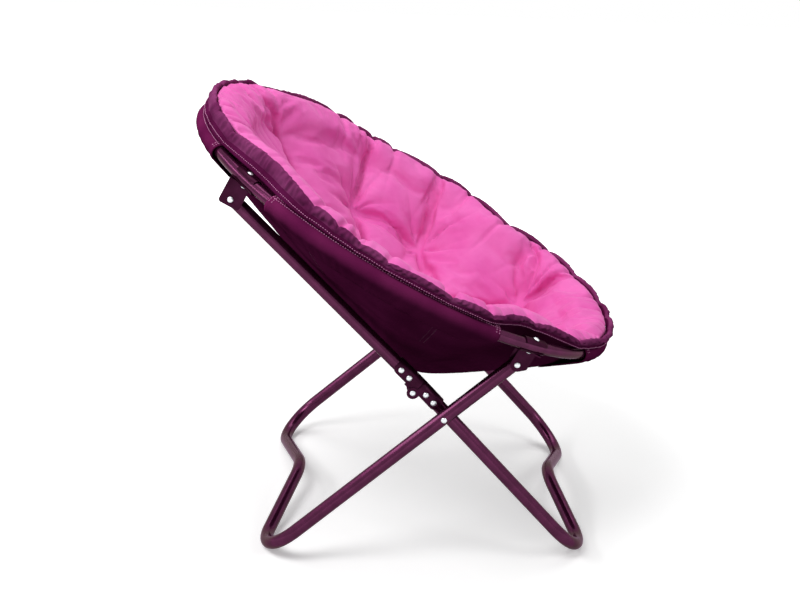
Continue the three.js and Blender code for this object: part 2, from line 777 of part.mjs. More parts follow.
// Upper channel: cut round the lower one's ears, with its own ears set inside them
function upperChannel() {
  const from = -kneeEndGap / 2;
  const body = trimmedChannel(channelOutline(from, -upperChannelLength), -upperChannelLength, from);
  const notchReach = channelOuter + cutOverrun;
  const notch = earDisc(outerEarRadius + pivotGap, -notchReach, notchReach);
  const earOuter = channelInner - fitGap;
  const earInner = earOuter - channelPlate;
  const armTop = innerEarRise - kneeOffset;
  const joggleEnd = -innerEarReach;
  const ears = [1, -1].flatMap((side) => {
    const [low, high] = side > 0 ? [earInner, earOuter] : [-earOuter, -earInner];
    const [joggleLow, joggleHigh] = side > 0 ? [earInner, channelOuter] : [-channelOuter, -earInner];
    return [
      earDisc(innerEarRadius, low, high),
      block(joggleEnd, 0, low, high, -kneeOffset, armTop),
      block(joggleEnd, joggleEnd + joggleLength, joggleLow, joggleHigh, armTop - joggleHeight, armTop),
    ];
  });
  return body.subtract(solidOf(notch)).add(joined(ears));
}

function channelBores(places) {
  const reach = channelOuter + cutOverrun;
  const bores = places.map((x) => pinAcross(x, 0, 0, reach, rivetBore));
  return [...bores, pinAcross(0, 0, -kneeOffset, reach, rivetBore)];
}

function buildKnees() {
  const upperRivets = [-upperRivetNear, -upperRivetFar];
  const lowerRivets = [lowerRivetNear, lowerRivetFar];
  const upper = cut(upperChannel(), channelBores(upperRivets));
  const lower = cut(lowerChannel(), channelBores(lowerRivets));
  const seat = channelOuter + fitGap;
  const rivetAt = (x, z) =>
    fastener(-seat, seat, rivetRadius, rivetHead, rivetTail).translate(x, frontFootHalfWidth, z);
  upper.translate(strutLength, frontFootHalfWidth, 0);
  addPair(strutGroup, "knee_channel_upper", upper, bracketPaint);
  lower.translate(0, frontFootHalfWidth, 0);
  addPair(frontLegGroup, "knee_channel_lower", lower, bracketPaint);
  addPair(strutGroup, "knee_pivot_rivet", rivetAt(strutLength, -kneeOffset), zincSteel);
  upperRivets.forEach((x, index) => {
    addPair(strutGroup, `knee_upper_rivet_${index + 1}`, rivetAt(strutLength + x, 0), zincSteel);
  });
  lowerRivets.forEach((x, index) => {
    addPair(frontLegGroup, `knee_lower_rivet_${index + 1}`, rivetAt(x, 0), zincSteel);
  });
}

// The scissor pivot: a headed part in the outer leg, a spacer and a formed tail on the inner leg
function buildScissor() {
  const outerFace = legTubeRadius + fitGap;
  const shoulder = { radius: scissorShoulderDiameter / 2, height: scissorShoulderHeight };
  const rivet = fastener(-outerFace, outerFace, rivetRadius, rivetHead, shoulder);
  rivet.translate(scissorToFrontPivot, rearFootHalfWidth, 0);
  addPair(rearLegGroup, "scissor_rivet", rivet, zincSteel);

  const spacerTop = legTubeRadius + frameGap - fitGap - scissorShoulderHeight - fitGap;
  const spacerLength = spacerTop - outerFace;
  const spacer = new THREE.CylinderGeometry(shoulder.radius, shoulder.radius, spacerLength, tubeSides);
  spacer.translate(0, (spacerTop + outerFace) / 2, 0);
  const bored = cut(solidOf(spacer), [pinAcross(0, 0, 0, spacerTop + cutOverrun, rivetBore)]);
  bored.translate(kneeToScissor, frontFootHalfWidth, 0);
  addPair(frontLegGroup, "scissor_spacer", bored, blackPlastic);

  const plain = { radius: rivetRadius, height: fitGap };
  const tail = fastener(-spacerTop + fitGap, outerFace, rivetRadius, rivetHead, plain)
    .rotateX(Math.PI)
    .translate(kneeToScissor, frontFootHalfWidth, 0);
  addPair(frontLegGroup, "scissor_rivet_tail", tail, zincSteel);
}

// Seat

const rimPulls = [
  [rearBolt.angle(), rearRimPull],
  [frontBolt.angle(), frontRimPull],
];

// The rim's radius at an angle: it draws in beside each bracket
function rimRadiusAt(angle) {
  const turned = Math.abs(THREE.MathUtils.euclideanModulo(angle + Math.PI, Math.PI * 2) - Math.PI);
  return rimPulls.reduce((radius, [middle, pull]) => {
    const away = Math.abs(turned - middle) / radians(rimPullAngle);
    return away < 1 ? radius - pull * Math.cos((away * Math.PI) / 2) ** 2 : radius;
  }, rimRadius);
}

function rimRiseAt(angle) {
  const [start, whole] = rearLiftShares;
  return rearRimRise * THREE.MathUtils.smoothstep(-Math.cos(angle), start, whole);
}

const bowlSection = new THREE.SplineCurve([
  ...bowlSectionShares.map(([out, down]) => new THREE.Vector2(out, -down)),
  new THREE.Vector2(1, seatEdgeHeight / bowlDepth),
]);

// A point of the bowl's outer face: share 0 at its deepest point and 1 at the rim
function bowlPoint(share, angle) {
  const { x: out, y: up } = bowlSection.getPoint(share);
  const rimLift = rimRiseAt(angle) * THREE.MathUtils.smoothstep(share, rimRiseStartShare, 1);
  const [bellyStart, bellyWhole] = rearBellyShares;
  const backwards = THREE.MathUtils.smoothstep(-Math.cos(angle), bellyStart, bellyWhole);
  const bellyLift = rearBellyRise * backwards * Math.sin(Math.PI * out);
  const radius = rimRadiusAt(angle) * out;
  return new THREE.Vector3(
    bowlForward * (1 - out) + radius * Math.cos(angle),
    radius * Math.sin(angle),
    up * bowlDepth + rimLift + bellyLift,
  );
}

// The same point moved off the face towards the sitter
function bowlOffset(share, angle, offset) {
  const point = bowlPoint(share, angle);
  if (share <= surfaceStep) {
    return point.addScaledVector(acrossHoop, offset);
  }
  const lower = bowlPoint(share - surfaceStep, angle);
  const before = bowlPoint(share, angle - surfaceStep);
  const normal = point.clone().sub(before).cross(point.clone().sub(lower)).normalize();
  return point.addScaledVector(normal, -offset);
}

// A closed skin over rows of points: the rows run from pole to pole, or round in a ring
function skin(rows, isRing) {
  const columns = rows[1].length;
  const positions = rows.flatMap((row) => row.flatMap((point) => point.toArray()));
  const starts = [];
  rows.reduce((start, row) => {
    starts.push(start);
    return start + row.length;
  }, 0);
  const index = [];
  const at = (row, column) => starts[row] + (rows[row].length === 1 ? 0 : column % columns);
  const last = isRing ? rows.length : rows.length - 1;
  for (let row = 0; row < last; row += 1) {
    const next = (row + 1) % rows.length;
    for (let column = 0; column < columns; column += 1) {
      const corners = [at(row, column), at(row, column + 1), at(next, column + 1), at(next, column)];
      // The way back is split along the same diagonals, so that skins at a small distance stay clear
      const [first, second, third, fourth] =
        row < rows.length / 2 ? corners : [...corners.slice(1), corners[0]];
      const triangles = [
        [first, second, third],
        [first, third, fourth],
      ];
      triangles.filter((corner) => new Set(corner).size === 3).forEach((corner) => index.push(...corner));
    }
  }
  const geometry = new THREE.BufferGeometry();
  geometry.setAttribute("position", new THREE.Float32BufferAttribute(positions, 3));
  geometry.setIndex(index);
  return geometry;
}

function seatRow(share, offsetAt) {
  if (share === 0) {
    return [bowlOffset(0, 0, offsetAt(0, 0))];
  }
  return Array.from({ length: seatColumns }, (unused, column) => {
    const angle = (Math.PI * 2 * column) / seatColumns;
    return bowlOffset(share, angle, offsetAt(share, angle));
  });
}

function seatRows(count, offsetAt) {
  return Array.from({ length: count + 1 }, (unused, row) => seatRow(row / count, offsetAt));
}

// Sewn tufts and the folds that run from them to the rim
const tufts = [1, -1].flatMap((side) =>
  tuftShares.map(([forward, aside]) => new THREE.Vector2(forward * rimRadius, side * aside * rimRadius)),
);

function paddingAt(share, angle) {
  const place = bowlPoint(share, angle);
  const flat = new THREE.Vector2(place.x, place.y);
  const crown = Math.sqrt(1 - share ** 4);
  const full = cushionEdgeThickness + (cushionThickness - cushionEdgeThickness) * crown;
  const dimples = tufts.map((tuft) => Math.exp(-((flat.distanceTo(tuft) / tuftSpread) ** 2)));
  const folds = tufts.map((tuft) => {
    const outward = tuft.clone().sub(new THREE.Vector2(foldFanForward, 0)).normalize();
    const from = flat.clone().sub(tuft);
    const aside = Math.abs(from.cross(outward));
    return from.dot(outward) > 0 ? Math.exp(-((aside / foldSpread) ** 2)) : 0;
  });
  const sink = tuftDepth * Math.max(...dimples) + foldDepth * Math.max(...folds) * crown;
  return shellThickness + fitGap + Math.max(full - sink, cushionEdgeThickness);
}

function buildSeat() {
  const outside = seatRows(shellRows, () => 0);
  const inside = seatRows(shellRows, () => shellThickness).reverse();
  addMesh(chair, "seat_shell", skin([...outside, ...inside], false), plumFabric);

  const under = seatRows(shellRows, () => shellThickness + fitGap);
  const top = seatRows(cushionTopRows, paddingAt).reverse();
  addMesh(chair, "seat_cushion", skin([...under, ...top], false), pinkFabric);
}

// The binding is a folded band that stands round the edge of the shell and the cushion
function buildBinding() {
  const rows = Array.from({ length: seatColumns }, (unused, column) => {
    const angle = (-Math.PI * 2 * column) / seatColumns;
    const rise = rimRiseAt(angle);
    const inner = rimRadiusAt(angle) + fitGap;
    const outer = inner + bindingThickness;
    const top = seatEdgeHeight + bindingStand + rise;
    const outline = [
      [inner, bindingBottom],
      [outer - bindingBevel, bindingBottom],
      [outer, bindingBottom + bindingBevel],
      [outer, top - bindingBevel],
      [outer - bindingBevel, top],
      [inner + bindingBevel, top],
      [inner, top - bindingBevel],
    ];
    return outline.map(
      ([radius, z]) => new THREE.Vector3(radius * Math.cos(angle), radius * Math.sin(angle), z),
    );
  });
  addMesh(chair, "binding_rim", skin(rows, true), plumFabric);
}

// A pocket wraps the hoop tube and comes down to a seam on the shell
function pocketRow(angle, depth, isInside) {
  const turn = radians(angle);
  const boreDrop = pocketBore - hoopTubeRadius - fitGap;
  const radius = isInside ? pocketBore : pocketBore + pocketThickness;
  const points = Array.from({ length: tubeSides }, (unused, side) => {
    const round = (side * Math.PI * 2) / tubeSides;
    const out = radius * Math.sin(round);
    const up = radius * Math.cos(round) - boreDrop;
    return new THREE.Vector2(hoopRadius + out, up);
  });
  if (!isInside) {
    const seam = seamOnShell(turn, depth);
    points[tubeSides / 2] = seam;
  }
  return points.map(({ x, y }) => new THREE.Vector3(x * Math.cos(turn), x * Math.sin(turn), y));
}

// Where the shell's outer face lies at a depth below the hoop, at an angle about the hoop's middle
function seamOnShell(turn, depth) {
  for (let step = seamSearchSteps; step > 0; step -= 1) {
    const place = bowlPoint(step / seamSearchSteps, turn);
    if (place.z < -depth) {
      return new THREE.Vector2(Math.hypot(place.x, place.y) + pocketSeamStand, -depth);
    }
  }
  return new THREE.Vector2(hoopRadius, -depth);
}

function buildPockets() {
  pocketStretches.forEach(([name, from, to, depth]) => {
    const { stops } = hoopPath(from, to);
    const angles = stops.map(({ point }) => THREE.MathUtils.radToDeg(Math.atan2(point.y, point.x)));
    const outside = angles.map((angle) => pocketRow(angle, depth, false));
    const inside = angles.map((angle) => pocketRow(angle, depth, true)).reverse();
    addMesh(chair, name, skin([...outside, ...inside], true), plumFabric);
  });
}

buildHoop();
buildBrackets();
buildLegs();
buildKnees();
buildScissor();
buildSeat();
buildBinding();
buildPockets();

export default chair;
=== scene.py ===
import bisect
import functools
import json
import math

import bmesh
import bpy
from mathutils import Matrix, Vector, noise
from mathutils.bvhtree import BVHTree

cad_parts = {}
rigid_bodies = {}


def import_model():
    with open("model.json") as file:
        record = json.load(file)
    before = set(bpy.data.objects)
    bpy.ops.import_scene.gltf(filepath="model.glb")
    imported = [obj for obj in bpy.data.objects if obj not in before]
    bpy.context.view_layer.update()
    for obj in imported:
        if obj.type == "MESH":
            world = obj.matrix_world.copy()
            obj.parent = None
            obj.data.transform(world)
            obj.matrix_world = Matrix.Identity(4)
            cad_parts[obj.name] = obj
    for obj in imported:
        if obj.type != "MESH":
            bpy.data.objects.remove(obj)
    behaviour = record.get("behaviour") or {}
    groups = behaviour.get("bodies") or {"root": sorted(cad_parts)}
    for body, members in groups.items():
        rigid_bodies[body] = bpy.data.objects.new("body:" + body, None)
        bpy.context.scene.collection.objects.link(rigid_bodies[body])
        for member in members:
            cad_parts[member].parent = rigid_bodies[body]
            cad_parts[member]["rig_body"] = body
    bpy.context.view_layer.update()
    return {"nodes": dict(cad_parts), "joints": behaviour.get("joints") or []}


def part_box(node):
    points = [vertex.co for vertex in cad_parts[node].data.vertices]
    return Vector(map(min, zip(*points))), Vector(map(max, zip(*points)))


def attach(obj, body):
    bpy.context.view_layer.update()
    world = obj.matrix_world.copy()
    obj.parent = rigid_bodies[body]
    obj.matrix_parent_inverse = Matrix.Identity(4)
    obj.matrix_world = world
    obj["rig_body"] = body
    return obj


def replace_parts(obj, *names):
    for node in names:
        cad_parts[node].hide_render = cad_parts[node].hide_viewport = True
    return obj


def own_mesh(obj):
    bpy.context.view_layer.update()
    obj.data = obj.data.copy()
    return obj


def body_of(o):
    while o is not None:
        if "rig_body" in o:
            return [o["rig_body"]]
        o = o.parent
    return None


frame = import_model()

scene = bpy.context.scene
joints = {joint["name"]: Vector(joint["pos_m"]) for joint in frame["joints"]}

# The hoop carries everything: its own frame has x forwards in its plane, y to the left and z square to it
hoop = {
    "radius": 0.387,
    "height": 0.51264,  # floor to the hoop's middle
    "tilt": 27.6459,  # degrees, front down
    "tubeRadius": 0.0095,
    "steps": 180,  # of each half ring
    "halfGap": 0.00015,  # where the halves meet
}
hoopToWorld = Matrix.Translation((0, 0, hoop["height"])) @ Matrix.Rotation(math.radians(hoop["tilt"]), 4, "Y")
hoopNormal = hoopToWorld.to_3x3() @ Vector((0, 0, 1))


def onHoop(angle, radius=hoop["radius"], up=0.0):
    return hoopToWorld @ Vector((radius * math.cos(angle), radius * math.sin(angle), up))


def smoothStep(value, start, end):
    share = min(max((value - start) / (end - start), 0.0), 1.0)
    return share * share * (3 - 2 * share)


def ripple(*place, size=1.0):
    return noise.noise(Vector(place) / size)  # smooth noise from -1 to 1, the same on every run


def putInScene(name, data):
    placed = bpy.data.objects.new(name, data)
    scene.collection.objects.link(placed)
    return placed


def applySettings(target, settings):
    for name, value in settings.items():
        setattr(target, name, value)


# Materials

def linear(code):
    channels = [int(code[start:start + 2], 16) / 255 for start in (1, 3, 5)]
    return (*[c / 12.92 if c <= 0.04045 else ((c + 0.055) / 1.055) ** 2.4 for c in channels], 1.0)


def addNode(tree, kind, settings=None, **inputs):
    node = tree.nodes.new(kind)
    applySettings(node, settings or {})
    for name, value in inputs.items():
        socket = node.inputs[int(name[1:])] if name[1:].isdigit() else node.inputs[name.replace("_", " ")]
        if isinstance(value, bpy.types.NodeSocket):
            tree.links.new(value, socket)
        else:
            socket.default_value = value
    return node


def newMaterial(name):
    # with the piece's own coordinates, from which every pattern starts
    material = bpy.data.materials.new(name)
    material.use_nodes = True
    tree = material.node_tree
    tree.nodes.clear()
    return material, tree, addNode(tree, "ShaderNodeTexCoord").outputs


def finishMaterial(material, tree, height, strength, distance, **inputs):
    bump = addNode(tree, "ShaderNodeBump", Height=height, Strength=strength, Distance=distance)
    shader = addNode(tree, "ShaderNodeBsdfPrincipled", Normal=bump.outputs["Normal"], **inputs)
    addNode(tree, "ShaderNodeOutputMaterial", Surface=shader.outputs["BSDF"])
    return material


def patchShare(tree, place, scale, low, high):
    # soft patches between 0 and 1
    grain = addNode(tree, "ShaderNodeTexNoise", Vector=place, Scale=scale, Detail=3.0)
    return addNode(
        tree, "ShaderNodeMapRange", Value=grain.outputs["Fac"], From_Min=low, From_Max=high
    ).outputs["Result"]


colourMix = {"data_type": "RGBA"}


def plumEnamel(name, code, flakeCode, roughness, coat):
    # Stoved flake enamel on drawn steel: fine metal in a tinted film gives dark sides and a narrow lilac highlight
    material, tree, place = newMaterial(name)
    patches = patchShare(tree, place["Object"], scale=60, low=0.35, high=0.7)
    tone = addNode(tree, "ShaderNodeMix", colourMix, i0=patches, i6=linear(code), i7=linear(flakeCode))
    peel = addNode(tree, "ShaderNodeTexNoise", Vector=place["Object"], Scale=420, Detail=2.0)  # 2.4 mm swells
    worn = patchShare(tree, place["Object"], scale=900, low=0.3, high=0.8)
    gloss = addNode(tree, "ShaderNodeMapRange", Value=worn, To_Min=roughness, To_Max=roughness + 0.08)
    return finishMaterial(
        material, tree, peel.outputs["Fac"], strength=0.06, distance=0.0004, Base_Color=tone.outputs[2],
        Roughness=gloss.outputs["Result"], Metallic=0.8, Coat_Weight=coat, Coat_Roughness=0.14,
        Specular_IOR_Level=0.2, Specular_Tint=linear("#a8689a"),
    )


def zincPlate():
    # Bright zinc on pressed steel: pale, slightly milky, with fine marks from the riveting set
    material, tree, place = newMaterial("brightZincPlate")
    patches = patchShare(tree, place["Object"], scale=500, low=0.3, high=0.7)
    tone = addNode(tree, "ShaderNodeMix", colourMix, i0=patches, i6=linear("#d3dade"), i7=linear("#f0f4f6"))
    marks = addNode(tree, "ShaderNodeTexNoise", Vector=place["Object"], Scale=1500, Detail=2.0)
    return finishMaterial(
        material, tree, marks.outputs["Fac"], strength=0.1, distance=0.0002, Base_Color=tone.outputs[2],
        Roughness=0.34, Metallic=0.85,
    )


def mouldedNylon():
    # Black moulded nylon: a dull skin with a faint spark-eroded grain
    material, tree, place = newMaterial("mouldedNylon")
    grain = addNode(tree, "ShaderNodeTexNoise", Vector=place["Object"], Scale=1200, Detail=2.0).outputs["Fac"]
    tone = addNode(tree, "ShaderNodeMix", colourMix, i0=grain, i6=linear("#1b1019"), i7=linear("#2c1b28"))
    return finishMaterial(
        material, tree, grain, strength=0.15, distance=0.0002, Base_Color=tone.outputs[2], Roughness=0.55,
        Specular_IOR_Level=0.3,
    )


def wovenPolyester(name, darkCode, lightCode, roughness, sheen, threadSpacing):
    # Plain-woven polyester: crossing threads, a soft grazing sheen and slow shifts of tone
    material, tree, place = newMaterial(name)
    turns = 1 / (threadSpacing * 2)
    waves = [
        addNode(
            tree, "ShaderNodeTexWave", {"bands_direction": direction}, Vector=place["UV"],
            Scale=turns * math.pi / 10, Distortion=0.6, Detail=1.0, Detail_Scale=2.0,
        ).outputs["Fac"]
        for direction in ("X", "Y")
    ]
    weave = addNode(tree, "ShaderNodeMath", {"operation": "MULTIPLY"}, i0=waves[0], i1=waves[1]).outputs[0]
    shade = patchShare(tree, place["Object"], scale=14, low=0.3, high=0.75)
    tone = addNode(tree, "ShaderNodeMix", colourMix, i0=shade, i6=linear(darkCode), i7=linear(lightCode))
    fuzz = addNode(tree, "ShaderNodeTexNoise", Vector=place["Object"], Scale=700, Detail=3.0).outputs["Fac"]
    height = addNode(tree, "ShaderNodeMath", {"operation": "MULTIPLY_ADD"}, i0=weave, i1=0.6, i2=fuzz)
    return finishMaterial(
        material, tree, height.outputs[0], strength=0.22, distance=0.0006, Base_Color=tone.outputs[2],
        Roughness=roughness, Sheen_Weight=sheen, Sheen_Roughness=0.4, Sheen_Tint=linear(lightCode),
        Specular_IOR_Level=0.0,
    )


def brushedMicrofibre():
    # Brushed microfibre: a short nap that lightens at grazing angles and scuffs into darker and paler patches
    material, tree, place = newMaterial("brushedMicrofibre")
    patches = patchShare(tree, place["Object"], scale=11, low=0.35, high=0.7)
    drawn = addNode(tree, "ShaderNodeMapping", Vector=place["Object"], Scale=(1, 1, 1.6)).outputs["Vector"]
    strokes = patchShare(tree, drawn, scale=75, low=0.3, high=0.75)
    shade = addNode(tree, "ShaderNodeMath", {"operation": "MULTIPLY_ADD"}, i0=strokes, i1=0.3, i2=patches)
    tone = addNode(
        tree, "ShaderNodeMix", colourMix, i0=shade.outputs[0], i6=linear("#dc5bab"), i7=linear("#e46eb7")
    )
    nap = addNode(tree, "ShaderNodeTexNoise", Vector=place["Object"], Scale=900, Detail=4.0)  # 1 mm tufts of nap
    return finishMaterial(
        material, tree, nap.outputs["Fac"], strength=0.2, distance=0.0006, Base_Color=tone.outputs[2], Roughness=0.62,
        Sheen_Weight=0.3, Sheen_Roughness=0.4, Sheen_Tint=linear("#ffb4e0"), Specular_IOR_Level=0.06,
    )


def spunThread(name, code):
    # Spun polyester thread: matt, with a slight twist that catches light
    material, tree, place = newMaterial(name)
    twist = addNode(tree, "ShaderNodeTexNoise", Vector=place["Object"], Scale=1800, Detail=1.0)
    return finishMaterial(
        material, tree, twist.outputs["Fac"], strength=0.3, distance=0.0002, Base_Color=linear(code),
        Roughness=0.7, Sheen_Weight=0.2,
    )


finishes = {
    "tube": plumEnamel("plumFlakeEnamelTube", "#4a1a38", "#562042", roughness=0.22, coat=0.16),
    "bracket": plumEnamel("plumFlakeEnamelPressing", "#300c22", "#3a122b", roughness=0.34, coat=0.04),
    "zinc": zincPlate(),
    "nylon": mouldedNylon(),
    "pad": brushedMicrofibre(),
    # thread spacing is drawn coarse, so that it shows
    "shell": wovenPolyester(
        "wovenPolyesterShell", "#5a1440", "#6e1f50", roughness=0.7, sheen=0.06, threadSpacing=0.0011
    ),
    "pocket": wovenPolyester(
        "wovenPolyesterPocket", "#5c1542", "#712152", roughness=0.68, sheen=0.07, threadSpacing=0.0011
    ),
    "binding": wovenPolyester(
        "wovenPolyesterBinding", "#4c1036", "#601848", roughness=0.68, sheen=0.08, threadSpacing=0.0014
    ),
    # paler, a painted highlight on the band's lit top, and with more sheen
    "hem": wovenPolyester(
        "wovenPolyesterHem", "#5c1c46", "#8a3f70", roughness=0.58, sheen=0.28, threadSpacing=0.0014
    ),
    "thread": spunThread("spunThreadPink", "#cf7fb2"),
    "darkThread": spunThread("spunThreadPlum", "#7a3a63"),
}
print("materials made")


# Mesh helpers

def addPiece(name, mesh, finish, body="hoop_and_seat"):
    piece = putInScene(name, mesh)
    if finish:
        mesh.materials.clear()
        mesh.materials.append(finishes[finish])
    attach(piece, body)
    return piece


def gridFaces(rowTotal, columnTotal, rowCount, count):
    return [
        (row * count + column, row * count + (column + 1) % count,
         (row + 1) % rowCount * count + (column + 1) % count, (row + 1) % rowCount * count + column)
        for row in range(rowTotal) for column in range(columnTotal)
    ]


def gridMesh(name, rows, closeRows=False, closeColumns=False):
    # rows of points make quads, with a UV map in metres so that a weave keeps its scale
    mesh = bpy.data.meshes.new(name)
    count = len(rows[0])
    points = [point for row in rows for point in row]
    rowTotal = len(rows) if closeRows else len(rows) - 1
    columnTotal = count if closeColumns else count - 1
    faces = gridFaces(rowTotal, columnTotal, len(rows), count)
    mesh.from_pydata([tuple(point) for point in points], [], faces)
    along = [0.0]
    for row in range(rowTotal):
        along.append(along[-1] + (rows[(row + 1) % len(rows)][0] - rows[row][0]).length)
    middle = rows[len(rows) // 2]
    across = [0.0]
    for column in range(columnTotal):
        across.append(across[-1] + (middle[(column + 1) % count] - middle[column]).length)
    layer = mesh.uv_layers.new(name="weave")
    loop = 0
    for row in range(rowTotal):
        for column in range(columnTotal):
            for u, v in ((column, row), (column + 1, row), (column + 1, row + 1), (column, row + 1)):
                layer.data[loop].uv = (across[u], along[v])
                loop += 1
    mesh.shade_smooth()
    return mesh


def evaluatedMesh(piece):
    return bpy.data.meshes.new_from_object(piece.evaluated_get(bpy.context.evaluated_depsgraph_get()))


def modify(piece, kind, **settings):
    applySettings(piece.modifiers.new(kind.lower(), kind), settings)
    bpy.context.view_layer.update()
    finished = evaluatedMesh(piece)
    piece.modifiers.clear()
    piece.data = finished


def pathObject(lines, attributes=None):
    # one mesh of polylines, each a list of points
    points = [tuple(point) for line in lines for point in line]
    edges = []
    start = 0
    for line in lines:
        edges += [(start + i, start + i + 1) for i in range(len(line) - 1)]
        start += len(line)
    mesh = bpy.data.meshes.new("path")
    mesh.from_pydata(points, edges, [])
    for name, values in (attributes or {}).items():
        layer = mesh.attributes.new(name, "FLOAT", "POINT")
        for index, value in enumerate(values):
            layer.data[index].value = value
    return putInScene("path", mesh)


def newTree(name, inputs):
    tree = bpy.data.node_groups.new(name, "GeometryNodeTree")
    tree.interface.new_socket("Geometry", in_out="INPUT", socket_type="NodeSocketGeometry")
    for label, kind, value in inputs:
        socket = tree.interface.new_socket(label, in_out="INPUT", socket_type=kind)
        if value is not None:
            socket.default_value = value
    tree.interface.new_socket("Geometry", in_out="OUTPUT", socket_type="NodeSocketGeometry")
    return tree, addNode(tree, "NodeGroupInput")


def closeTree(tree, geometry, material):
    real = addNode(tree, "GeometryNodeRealizeInstances", Geometry=geometry)
    finished = addNode(tree, "GeometryNodeSetMaterial", Geometry=real.outputs["Geometry"], Material=material)
    addNode(tree, "NodeGroupOutput", Geometry=finished.outputs["Geometry"])


def grow(path, tree, values):
    # runs a tree on a path and returns the plain mesh
    modifier = path.modifiers.new("grow", "NODES")
    modifier.node_group = tree
    for item in tree.interface.items_tree:
        if item.in_out == "INPUT" and item.name in values:
            modifier[item.identifier] = values[item.name]
    bpy.context.view_layer.update()
    mesh = evaluatedMesh(path)
    bpy.data.objects.remove(path)
    return mesh


# Tubes: a polyline with a bend radius at each corner is filleted and swept

def tubeTree():
    tree, given = newTree("bentTube", [
        ("Tube Radius", "NodeSocketFloat", 0.011), ("Bend Steps", "NodeSocketInt", 24),
        ("Finish", "NodeSocketMaterial", None),
    ])
    curve = addNode(tree, "GeometryNodeMeshToCurve", Mesh=given.outputs["Geometry"])
    bend = addNode(tree, "GeometryNodeInputNamedAttribute", {"data_type": "FLOAT"}, Name="bendRadius")
    filleted = addNode(
        tree, "GeometryNodeFilletCurve", {"mode": "POLY"}, Curve=curve.outputs["Curve"],
        Radius=bend.outputs["Attribute"], Count=given.outputs["Bend Steps"],
    )
    section = addNode(tree, "GeometryNodeCurvePrimitiveCircle", Resolution=40, Radius=given.outputs["Tube Radius"])
    swept = addNode(
        tree, "GeometryNodeCurveToMesh", Curve=filleted.outputs["Curve"],
        Profile_Curve=section.outputs["Curve"], Fill_Caps=True,
    )
    closeTree(tree, swept.outputs["Mesh"], given.outputs["Finish"])
    return tree


legs = {
    "tubeRadius": 0.011,
    "rearHalfWidth": 0.2754,
    "frontHalfWidth": 0.2470,
    "strutLength": 0.4225,
    "endReach": 0.007,  # of a tube past its end pivot
    "kneeDrop": 0.0135,  # knee pivot below the tubes
    "kneeGap": 0.0003,
    "strutSlope": -44.984,  # degrees up from straight ahead
    "rearLegSlope": -138.172,
    "frontLegSlope": -46.724,
    "rearLegLength": 0.5332,
    "frontLegLength": 0.41216,
    "rearCorner": 0.072,
    "frontCorner": 0.073,
    "rearArch": 17.1,  # degrees by which the foot bar rises to its middle
    "frontArch": 19.7,
    "apexRadius": 0.125,
    "sharpAngle": 40,
}


def slopePoint(start, slope, along, across=0.0, up=0.0):
    turn = math.radians(slope)
    return Vector((
        start.x + along * math.cos(turn) - up * math.sin(turn),
        across,
        start.z + along * math.sin(turn) + up * math.cos(turn),
    ))


def framePoints(start, slope, begin, length, halfWidth, corner, arch):
    turn = math.radians(arch)
    cornerAlong = length - corner + corner * math.tan((math.pi / 2 + turn) / 2)
    apexAlong = cornerAlong - halfWidth * math.tan(turn)
    places = [(begin, -1), (cornerAlong, -1), (apexAlong, 0), (cornerAlong, 1), (begin, 1)]
    return [slopePoint(start, slope, along, side * halfWidth) for along, side in places]


def makeTubes():
    tree = tubeTree()

    def bendTube(name, node, points, radius, bends=None, body="hoop_and_seat"):
        path = pathObject([points], {"bendRadius": bends or [0.0] * len(points)})
        mesh = grow(path, tree, {"Tube Radius": radius, "Finish": finishes["tube"]})
        mesh.set_sharp_from_angle(angle=math.radians(legs["sharpAngle"]))
        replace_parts(addPiece(name, mesh, None, body), node)

    kneeOnLeg = slopePoint(joints["knee_fold"], legs["frontLegSlope"], 0, 0, legs["kneeDrop"])
    frames = [
        ("rearFootTube", "rear_foot_frame", "rear_leg_frame", joints["rear_leg_fold"], "rearLegSlope",
         -legs["endReach"], "rearLegLength", "rearHalfWidth", "rearCorner", "rearArch"),
        ("frontFootTube", "front_foot_frame", "front_leg_frame", kneeOnLeg, "frontLegSlope",
         legs["kneeGap"], "frontLegLength", "frontHalfWidth", "frontCorner", "frontArch"),
    ]
    for name, node, body, start, slope, begin, length, halfWidth, corner, arch in frames:
        points = framePoints(
            start, legs[slope], begin, legs[length], legs[halfWidth], legs[corner], legs[arch]
        )
        bends = [0.0, legs[corner], legs["apexRadius"], legs[corner], 0.0]
        bendTube(name, node, points, legs["tubeRadius"], bends, body)
    for side, across in (("left", legs["frontHalfWidth"]), ("right", -legs["frontHalfWidth"])):
        ends = [-legs["endReach"], legs["strutLength"] - legs["kneeGap"]]
        points = [slopePoint(joints["strut_fold"], legs["strutSlope"], along, across) for along in ends]
        bendTube(f"strutTube_{side}", f"upper_strut_{side}", points, legs["tubeRadius"], body="struts")
    gap = hoop["halfGap"] / hoop["radius"]
    halves = [("hoopTubeFront", "hoop_front_half", 0), ("hoopTubeRear", "hoop_rear_half", math.pi)]
    for name, node, middle in halves:
        turns = [middle - math.pi / 2 + gap + (math.pi - 2 * gap) * step / hoop["steps"]
                 for step in range(hoop["steps"] + 1)]
        bendTube(name, node, [onHoop(turn) for turn in turns], hoop["tubeRadius"])
    print("tubes bent")


# Pressed plates keep their CAD shape and get rounded edges on a welded copy

pressings = {"bevel": 0.0004, "weld": 0.00002, "sharpAngle": 28}


